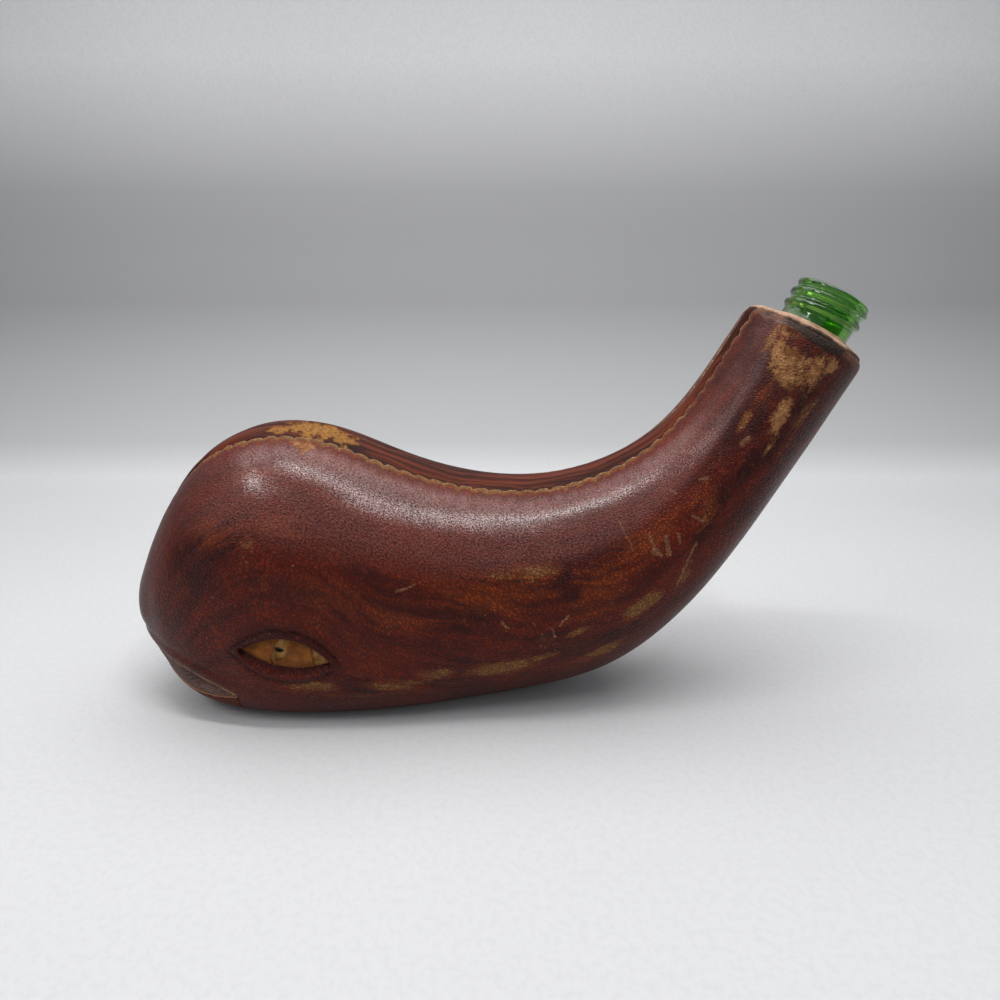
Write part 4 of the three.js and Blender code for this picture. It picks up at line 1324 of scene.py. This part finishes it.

# %% [markdown]
# A side panel is built up as the real one was, with some light painted in. First come the dyes, which ran
# along the hide while it was wet, and a purple-brown painted reflection of the floor low on the flank. Then
# comes what years of use did: ochre where it rubs, bare leather where a hand holds it, dark lids, a browned
# end of the neck, and strokes. Painted shade darkens the lower lid's wall and the grain's creases, and a
# painted pink sheen lies where the coat shines. Each coat is one paint laid over the last through a mask,
# which is easier to follow and to change than one big mix.

# %% Polished hide: dyes and a painted floor reflection
panel_hide = bpy.data.materials.new("polished_hide")
tree, shader = begin_material(panel_hide, Coat_Roughness=0.2, Coat_IOR=1.8, Specular_IOR_Level=0.14,
                              Specular_Tint=(1, 0.8, 0.78, 1))
hide = hide_place(tree)
spot = object_place(tree)
broad = group(tree, streak_group, "Mask", Vector=hide, Length_mm=70.0, Width_mm=11.0, Shift=3.1)
narrow = group(tree, streak_group, "Mask", Vector=hide, Length_mm=26.0, Width_mm=2.6, Shift=8.7)
hairs = group(tree, streak_group, "Mask", Vector=hide, Length_mm=9.0, Width_mm=0.8, Shift=5.3)
blotch = noise(tree, spot, 26.0, 4.0, 0.6)
mottle = noise(tree, spot, 210.0, 4.0, 0.65)
base_total = calc(tree, "MULTIPLY_ADD", blotch, 0.5,
                  calc(tree, "MULTIPLY_ADD", narrow, 0.45, times(tree, broad, 0.6)))
colour = over(tree, deep_brown, soft_step(tree, base_total, 0.58, 0.92), red_brown)
warm_total = calc(tree, "ADD", mark_of(tree, "warm"), calc(tree, "MULTIPLY_ADD", narrow, 1.6, -0.8))
colour = over(tree, colour, soft_step(tree, warm_total, 0.2, 1.1), warm_orange, 0.9)
dark_total = calc(tree, "ADD", mark_of(tree, "dark"), calc(tree, "MULTIPLY_ADD", narrow, 1.2, -0.7))
colour = over(tree, colour, soft_step(tree, dark_total, 0.25, 0.9), deep_brown, 0.88)
# Painted reflection: the lower flank is tinted purple-brown, as if it mirrored the floor.
colour = over(tree, colour, mark_of(tree, "low"), floor_reflection_purple, 0.6)
colour = over(tree, colour, soft_step(tree, hairs, 0.52, 0.66), deep_brown, 0.35)
colour = over(tree, colour, soft_step(tree, mottle, 0.5, 0.7), warm_orange, 0.22)
print("dyes:", len(tree.nodes), "nodes")

# %% Polished hide: wear
ochre_mark = calc(tree, "MAXIMUM", mark_of(tree, "wear"), mark_of(tree, "seam"))
halo = group(tree, wear_group, "Mask", Vector=hide, Mark=ochre_mark, Size_mm=9.0, Stretch=3.0, Level=0.42)
colour = over(tree, colour, halo, warm_orange, 0.5)
rubbed = group(tree, wear_group, "Mask", Vector=hide, Mark=ochre_mark, Size_mm=4.0, Stretch=2.6, Level=0.6)
colour = over(tree, colour, rubbed, ochre, 0.85)
bare = group(tree, wear_group, "Mask", Vector=hide, Mark=mark_of(tree, "bare"), Size_mm=3.0, Stretch=1.3,
             Level=0.62)
bare = calc(tree, "MAXIMUM", bare, mark_of(tree, "bald"))
bare_tone = over(tree, bare_brown, soft_step(tree, mottle, 0.36, 0.58), raw_tan)
colour = over(tree, colour, bare, bare_tone, 0.9)
specks = soft_step(tree, noise(tree, hide, 95.0, 2.0, 0.5), 0.68, 0.74)
specks = times(tree, specks, soft_step(tree, noise(tree, hide, 5.0, 2.0), 0.45, 0.62))
colour = over(tree, colour, specks, pale_edge, 0.55)
scratched = group(tree, scratch_group, "Mask", Vector=hide, Turn=0.9, Amount=0.35)
colour = over(tree, colour, scratched, ochre)
print("with its wear:", len(tree.nodes), "nodes")


# %% Polished hide: cut edges, lids and the neck's end
def broken_mark(name, low, high):
    """A soft mark whose outline the mottle breaks up."""
    total = calc(tree, "MULTIPLY_ADD", mottle, 1.6, calc(tree, "SUBTRACT", mark_of(tree, name), 0.8))
    return soft_step(tree, total, low, high)


pale = calc(tree, "SUBTRACT", 1.0, soft_step(tree, mark_of(tree, "edge"), 0.35, 1.25))
pale = times(tree, pale, soft_step(tree, mottle, 0.32, 0.5))
colour = over(tree, colour, pale, pale_edge, 0.9)
# Painted shade: the lower lid's inner wall is darkened, as it lies in the lid's shadow.
colour = over(tree, colour, mark_of(tree, "wall"), wall_shade_brown, 0.7)
lid = times(tree, mark_of(tree, "lid"), calc(tree, "MULTIPLY_ADD", mottle, 0.8, 0.5))
colour = over(tree, colour, times(tree, lid, 0.85, clamp=True), black_dye_and_shade)
colour = over(tree, colour, broken_mark("brim", 0.2, 0.7), brim_tan, 0.8)
colour = over(tree, colour, broken_mark("stain", 0.35, 0.65), damp_black, 0.92)
print("with its edges:", len(tree.nodes), "nodes")

# %% Polished hide: strokes
# Each stroke: from and to, as rib and degrees, and its width in mm.
left_strokes = [((8.94, 55), (9.12, 73), 0.3), ((9.34, 71), (9.42, 80), 0.8), ((9.38, 80), (9.50, 85), 1.1),
                ((9.58, 79), (9.60, 87), 1.5), ((9.76, 82), (9.78, 87), 0.8), ((6.2, 80), (6.42, 76), 0.5),
                ((10.0, 80), (10.2, 90), 0.6), ((10.22, 66), (10.36, 70), 0.7), ((9.75, 57), (9.82, 61), 0.6),
                ((11.05, 75), (11.2, 78), 1.3), ((8.1, 96), (8.15, 101), 0.5), ((8.3, 92), (8.2, 96), 0.6),
                ((7.5, 90), (7.58, 93), 0.6), ((9.85, 103), (9.7, 110), 0.7), ((10.0, 96), (9.85, 101), 0.8)]
for start_spot, end_spot, width in left_strokes:
    ends = [flat_place(np.array([rib, math.radians(degrees)])) for rib, degrees in (start_spot, end_spot)]
    ends = [(float(along / dm), float(wrap / dm), 0) for along, wrap in ends]
    stroke = group(tree, stroke_group, "Mask", Vector=hide, From=ends[0], To=ends[1], Width_mm=width)
    colour = over(tree, colour, stroke, stroke_tan, 0.6)
print("strokes:", len(left_strokes))

# %% [markdown]
# Leather shines on the tops of its grain and not in its creases, and only where hands have polished it. So
# the clear coat has a weight that follows the mark for polish and sheen and the same fine noise that paints
# shade into the creases, and a bump of its own. A smooth coat would draw a hard band along the flank, as on
# plastic. Under the coat the base is painted a paler pink as well, which is painted sheen.

# %% Polished hide: grain, painted crease shade, painted sheen and shine
flank_grain = {"Vector": hide, "Unit_mm": mm_per_dm, "Cell_mm": 0.85, "Turn": -0.55, "Stretch": 2.0}
grain = group(tree, grain_group, "Height", **flank_grain)
creases = soft_step(tree, group(tree, grain_group, "Creases", **flank_grain), 0.45, 0.9)
creases = times(tree, creases, calc(tree, "MULTIPLY_ADD", bare, -0.35, 0.6))
# Painted shade: the grain's creases are darkened with black.
colour = over(tree, colour, creases, black_dye_and_shade)
pepper = noise(tree, stretched(tree, hide, (120.0, 180.0, 1.0)), 1.0, 4.0, 0.65)
# Painted shade: a fine dark pepper in the grain's creases.
colour = over(tree, colour, soft_step(tree, pepper, 0.5, 0.68), black_dye_and_shade, 0.5)
# Painted sheen: the base is a paler pink on the grain's tops where the coat shines.
painted_sheen = times(tree, mark_of(tree, "polish_and_sheen"), soft_step(tree, pepper, 0.62, 0.4))
colour = over(tree, colour, painted_sheen, painted_sheen_pink, 0.5)
torn = mark_of(tree, "torn")
fibre = noise(tree, stretched(tree, hide, (45.0, 170.0, 1.0)), 1.0, 5.0, 0.7)
torn_tone = over(tree, fibre_dark, soft_step(tree, fibre, 0.34, 0.56), fibre_light)
colour = over(tree, colour, torn, torn_tone)
plug(tree, shader["Base Color"], colour)
worn = calc(tree, "MAXIMUM", calc(tree, "MAXIMUM", bare, torn), times(tree, rubbed, 0.5))
shine = calc(tree, "MULTIPLY_ADD", blotch, 0.2, 0.24)
plug(tree, shader["Roughness"], calc(tree, "MULTIPLY_ADD", worn, 0.33, shine))
polished = times(tree, mark_of(tree, "polish_and_sheen"), calc(tree, "MULTIPLY_ADD", mottle, 0.9, 0.1))
polished = times(tree, polished, calc(tree, "SUBTRACT", 1.0, worn, clamp=True))
grains = soft_step(tree, pepper, 0.6, 0.42)
polished = times(tree, polished, calc(tree, "MULTIPLY_ADD", grains, 0.95, 0.15))
plug(tree, shader["Coat Weight"], calc(tree, "MULTIPLY_ADD", polished, 1.0, 0.02, clamp=True))
sparkle = noise(tree, stretched(tree, hide, (75.0, 100.0, 1.0)), 1.0, 3.0, 0.7)
emboss(tree, shader["Coat Normal"], sparkle, 0.09 * mm, 1.0)
relief_height = calc(tree, "MULTIPLY_ADD", times(tree, fibre, torn), 3.0, grain)
relief_height = calc(tree, "MULTIPLY_ADD", worn, -0.6, relief_height)
emboss(tree, shader["Normal"], relief_height, 0.32 * mm, 1.0)
print("polished hide has", len(tree.nodes), "nodes")

# %% [markdown]
# The strips and the jaw are plainer and less polished, so one function makes both from three paints. The
# leather of the eyes, the flakes and the ridges is raw: it has no streaks and hardly any shine. The
# collar keeps turned lines, which follow its radius, and a dark ring where it meets the wrap.


# %% Hide of the strips and the jaw
def plain_hide(material, deep, middle, light, streak_width, rough, coat, grain_cell, light_share=0.5):
    """A simpler leather: two dyes in streaks, lighter rubbed places, painted shade in hollows and creases,
    and grain.
    """
    tree, shader = begin_material(material, Coat_Roughness=0.35, Specular_IOR_Level=0.05)
    hide = hide_place(tree)
    spot = object_place(tree)
    streak = group(tree, streak_group, "Mask", Vector=hide, Length_mm=55.0, Width_mm=streak_width, Shift=1.7)
    colour = over(tree, deep, soft_step(tree, streak, 0.4, 0.62), middle)
    rubbed = group(tree, wear_group, "Mask", Vector=hide, Mark=light_share, Size_mm=3.0, Stretch=4.0,
                   Level=0.7)
    colour = over(tree, colour, rubbed, light, 0.7)
    # Painted shade: the strips' dark mark, along the scallops and seams, is laid on in black.
    colour = over(tree, colour, soft_step(tree, mark_of(tree, "dark"), 0.2, 1.0), black_dye_and_shade)
    hem = calc(tree, "SUBTRACT", 1.0, soft_step(tree, mark_of(tree, "edge"), 0.4, 1.0))
    colour = over(tree, colour, hem, pale_edge, 0.6)
    creases = group(tree, grain_group, "Creases", Vector=spot, Cell_mm=grain_cell)
    # Painted shade: the grain's creases are a little darker.
    colour = over(tree, colour, creases, deep, 0.3)
    torn = mark_of(tree, "torn")
    fibre = noise(tree, stretched(tree, hide, (60.0, 260.0, 1.0)), 1.0, 4.0, 0.7)
    colour = over(tree, colour, torn, over(tree, fibre_dark, soft_step(tree, fibre, 0.38, 0.6), fibre_light))
    plug(tree, shader["Base Color"], colour)
    plug(tree, shader["Roughness"], calc(tree, "MULTIPLY_ADD", torn, 0.35, rough))
    plug(tree, shader["Coat Weight"], calc(tree, "MULTIPLY_ADD", torn, -coat, coat, clamp=True))
    grain = group(tree, grain_group, "Height", Vector=spot, Cell_mm=grain_cell)
    height = calc(tree, "MULTIPLY_ADD", times(tree, fibre, torn), 3.0, grain)
    emboss(tree, shader["Normal"], height, 0.14 * mm, 0.8)


strip_hide = bpy.data.materials.new("strip_hide")
plain_hide(strip_hide, (0.030, 0.007, 0.004), (0.150, 0.028, 0.011), (0.240, 0.085, 0.036),
           streak_width=2.2, rough=0.45, coat=0.05, grain_cell=0.9)
plain_hide(tooled_leather, (0.050, 0.024, 0.022), (0.120, 0.062, 0.054), (0.240, 0.150, 0.120),
           streak_width=4.0, rough=0.5, coat=0.05, grain_cell=0.7, light_share=0.6)
print("strip hide has", len(strip_hide.node_tree.nodes), "nodes")


# %% Raw leather: eyes, torn fibre and flakes
def raw_leather(material, dark, light, rough, size):
    """Cloudy matt leather. size is that of its clouds in mm."""
    tree, shader = begin_material(material, Specular_IOR_Level=0.2, Specular_Tint=(1, 0.7, 0.5, 1))
    spot = object_place(tree)
    cloud = noise(tree, spot, 1.0 / (size * mm), 5.0, 0.65)
    colour = over(tree, dark, soft_step(tree, cloud, 0.34, 0.66), light)
    shade = mark_of(tree, "shade")
    colour = over(tree, colour, shade, shade_brown, 0.65)
    plug(tree, shader["Base Color"], colour)
    shader["Roughness"].default_value = rough
    fine = noise(tree, spot, 1400.0, 3.0, 0.6)
    emboss(tree, shader["Normal"], calc(tree, "ADD", fine, cloud), 0.2 * mm, 0.7)


eye_leather = bpy.data.materials.new("eye_leather")
raw_leather(eye_leather, (0.140, 0.044, 0.009), (0.270, 0.088, 0.016), rough=0.6, size=4.5)
backing_leather = bpy.data.materials.new("backing_leather")
raw_leather(backing_leather, (0.200, 0.090, 0.024), (0.400, 0.210, 0.070), rough=0.75, size=2.5)
raw_leather(torn_fibre, (0.130, 0.055, 0.024), (0.500, 0.300, 0.145), rough=0.8, size=1.2)
raw_leather(ridge_leather, (0.080, 0.042, 0.036), (0.210, 0.130, 0.100), rough=0.55, size=2.0)
print("eye leather has", len(eye_leather.node_tree.nodes), "nodes")

# %% Collar leather
collar_dark, collar_light = (0.30, 0.160, 0.100), (0.52, 0.330, 0.220)
line_tan = (0.60, 0.44, 0.32)
glue_black = (0.028, 0.022, 0.014)
collar_leather = bpy.data.materials.new("collar_leather")
tree, shader = begin_material(collar_leather, Roughness=0.55, Specular_IOR_Level=0.25)
spot = object_place(tree)
radius = mark_of(tree, "radius")
cloud = noise(tree, spot, 160.0, 4.0, 0.6)
colour = over(tree, collar_dark, soft_step(tree, cloud, 0.38, 0.62), collar_light)
lines = calc(tree, "ABSOLUTE", calc(tree, "SINE", times(tree, radius, 2.1)))
lines = times(tree, soft_step(tree, lines, 0.93, 1.0), soft_step(tree, cloud, 0.4, 0.6))
colour = over(tree, colour, lines, line_tan, 0.6)
stain = calc(tree, "MULTIPLY_ADD", noise(tree, spot, 90.0, 4.0, 0.6), 4.6, radius)
stain = soft_step(tree, stain, 22.9, 23.6)
colour = over(tree, colour, stain, glue_black, 0.9)
plug(tree, shader["Base Color"], colour)
grain = group(tree, grain_group, "Height", Vector=spot, Cell_mm=0.7)
emboss(tree, shader["Normal"], grain, 0.15 * mm, 0.7)
print("collar leather has", len(tree.nodes), "nodes")

# %% [markdown]
# The glass keeps plain numbers for how it lets light through. Only its colour and its fine waviness
# change over the surface: it is paler and a little hazy at the foot of the finish, where old glue has
# crept up.

# %% Green glass
bottle_green = (0.14, 0.39, 0.055)
hazy_white = (0.60, 0.68, 0.56)
green_glass = bpy.data.materials.new("green_glass")
tree, shader = begin_material(green_glass, Transmission_Weight=1.0, IOR=1.5, Metallic=0.0)
spot = object_place(tree)
height = mark_of(tree, "height")
haze = calc(tree, "MULTIPLY_ADD", mark_of(tree, "back"), 0.35, times(tree, height, -1.0))
haze = soft_step(tree, calc(tree, "MULTIPLY_ADD", noise(tree, spot, 160.0, 3.0), 3.5, haze), -1.2, 1.0)
colour = over(tree, bottle_green, haze, hazy_white)
plug(tree, shader["Base Color"], colour)
plug(tree, shader["Roughness"], calc(tree, "MULTIPLY_ADD", haze, 0.35, 0.035))
wavy = noise(tree, spot, 130.0, 2.0)
emboss(tree, shader["Normal"], wavy, 0.3 * mm, 0.35)
print("green glass has", len(tree.nodes), "nodes")

# %% [markdown]
# Each skin now takes the place of the plain solid that it was made for, and rides on the one body. The
# ridges and the flakes stand for no solid: they only add to the pieces below.

# %% Pieces, their finishes and what they stand for
finishes = [(panels["left"], panel_hide, "panel_leather", "side_panel_left"),
            (panels["right"], panel_hide, "panel_leather", "side_panel_right"),
            (back_strip, strip_hide, "strip_leather", "back_strip"),
            (belly_strip, strip_hide, "strip_leather", "belly_strip"),
            (jaw, tooled_leather, "tooled_leather", "lower_jaw"),
            (jaw_ridges, ridge_leather, "tooled_leather", None),
            (flakes, torn_fibre, "raw_leather", None),
            (collar, collar_leather, "collar_leather", "neck_collar"),
            (glass, green_glass, "glass", "glass_bottle")]
for (layer, side_name), piece in eye_pieces.items():
    slot = "backing_leather" if layer == "backing" else "raw_leather"
    finish = backing_leather if layer == "backing" else eye_leather
    finishes.append((piece, finish, slot, f"eye_{layer}_{side_name}"))
for piece, material, slot, node in finishes:
    piece.data.materials.clear()
    piece.data.materials.append(material)
    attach(piece, "root")
    if node:
        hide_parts(node)
print("pieces:", len(finishes))

# %% [markdown]
# The table is a pale sheet that curves up behind the piece, as in a small photo tent. A wide soft lamp
# hangs over it, and three narrow ones draw the bright lines along the flank. The sheet's colour carries
# the grey of the background as painted shade, darkest where the sheet bends up, so the lamps can stay at a
# plain level. The sheet is dark in front, outside the picture, and so is the world low in front, because
# the real flank mirrors a dark room there.

# %% Floor and backdrop
sheet_front, bend_start, bend_radius, sheet_width, sheet_top = -1.2, 0.30, 0.22, 2.4, 1.6
profile = [(sheet_front, 0.0), (bend_start, 0.0)]
profile += [(bend_start + bend_radius * math.sin(a), bend_radius * (1 - math.cos(a)))
            for a in np.linspace(0.1, math.pi / 2, 16)]
profile.append((bend_start + bend_radius, sheet_top))
stage_points = [(x, y, z) for y, z in profile for x in (-sheet_width / 2, sheet_width / 2)]
stage_faces = [(2 * i, 2 * i + 1, 2 * i + 3, 2 * i + 2) for i in range(len(profile) - 1)]
table = bpy.data.objects.new("table_sheet", bpy.data.meshes.new("table_sheet"))
table.data.from_pydata(stage_points, [], stage_faces)
table.data.shade_smooth()
scene.collection.objects.link(table)
smudge_grey = (0.38, 0.38, 0.385)
dark_room = (0.01, 0.01, 0.01)
pale_paper = bpy.data.materials.new("pale_paper")
tree, shader = begin_material(pale_paper, Roughness=0.7)
spot = object_place(tree)
parts = put(tree, "ShaderNodeSeparateXYZ", {"Vector": spot}).outputs
along_sheet = calc(tree, "ADD", parts["Y"], parts["Z"])
# Painted shade: the sheet's grey changes along it and is darkest where it bends up.
sheet_shade_ramp = put(tree, "ShaderNodeValToRGB", {"Fac": along_sheet})
painted_shade_stops = [(0.0, 0.59), (0.2, 0.62), (0.33, 0.69), (0.41, 0.49), (0.55, 0.40), (0.65, 0.31), (0.77, 0.38),
         (0.89, 0.67)]
for index, (place, tone) in enumerate(painted_shade_stops):
    stop = sheet_shade_ramp.color_ramp.elements[index] if index < 2 else sheet_shade_ramp.color_ramp.elements.new(place)
    stop.position, stop.color = place, (tone, tone, tone * 1.01, 1)
smudge = noise(tree, spot, 3.0, 4.0)
paper = noise(tree, spot, 420.0, 4.0, 0.7)
smudges = soft_step(tree, smudge, 0.4, 0.7)
soiled = calc(tree, "MULTIPLY_ADD", smudges, 0.08, times(tree, soft_step(tree, paper, 0.42, 0.66), 0.14))
colour = over(tree, sheet_shade_ramp.outputs["Color"], soiled, smudge_grey)
front = soft_step(tree, parts["Y"], -0.15, -0.27)
colour = over(tree, colour, front, dark_room, 0.97)
plug(tree, shader["Base Color"], colour)
table.data.materials.append(pale_paper)
print("sheet has", len(stage_faces), "faces")

# %% Lamps and world
world = bpy.data.worlds.new("soft_room")
scene.world = world
world.use_nodes = True
tree = world.node_tree
background = tree.nodes["Background"].inputs
background["Color"].default_value = (0.92, 0.95, 1.0, 1)
way = put(tree, "ShaderNodeTexCoord").outputs["Generated"]
parts = put(tree, "ShaderNodeSeparateXYZ", {"Vector": way}).outputs
in_front = soft_step(tree, parts["Y"], -0.05, -0.45)
ceiling = calc(tree, "MULTIPLY_ADD", soft_step(tree, parts["Z"], 0.08, 0.2), 0.42, 0.02)
room_light = 0.3
change = calc(tree, "SUBTRACT", ceiling, room_light)
plug(tree, background["Strength"], calc(tree, "MULTIPLY_ADD", in_front, change, room_light))


def soft_lamp(name, place, aim, width, depth, power):
    """A rectangular lamp that looks at a point."""
    data = bpy.data.lights.new(name, "AREA")
    data.shape, data.size, data.size_y, data.energy = "RECTANGLE", width, depth, power
    lamp = bpy.data.objects.new(name, data)
    lamp.location = place
    lamp.rotation_euler = (Vector(aim) - Vector(place)).to_track_quat("-Z", "Y").to_euler()
    scene.collection.objects.link(lamp)


soft_lamp("overhead", (0.0, 0.14, 0.62), (0.0, 0.05, 0), 1.1, 0.45, 3.7)
soft_lamp("bar_middle", (-0.03, -0.14, 0.60), (0, 0, 0), 0.36, 0.04, 1.2)
soft_lamp("bar_left", (-0.42, -0.36, 0.60), (-0.42, -0.36, 0), 0.04, 0.34, 1.4)
soft_lamp("bar_right", (0.17, -0.29, 0.60), (0.17, -0.29, 0), 0.04, 0.28, 0.8)
print("lamps:", len(bpy.data.lights))

# %% [markdown]
# The camera is a wide lens close to the piece, so the near flank looms a little and the neck leans away.
# Its place was found by fitting the outline of the body and the finish. A longer lens would flatten both.

# %% Camera
camera_place = (0.0045, -0.26435, 0.1515)
camera_pitch = math.radians(74)
camera = bpy.data.objects.new("camera", bpy.data.cameras.new("camera"))
camera.data.lens = 26
camera.data.sensor_width = 36
camera.location = camera_place
camera.rotation_euler = (camera_pitch, 0, 0)
scene.collection.objects.link(camera)
scene.camera = camera
scene.view_settings.view_transform = "Standard"
print("camera in mm:", np.round(np.array(camera_place) / mm, 1))
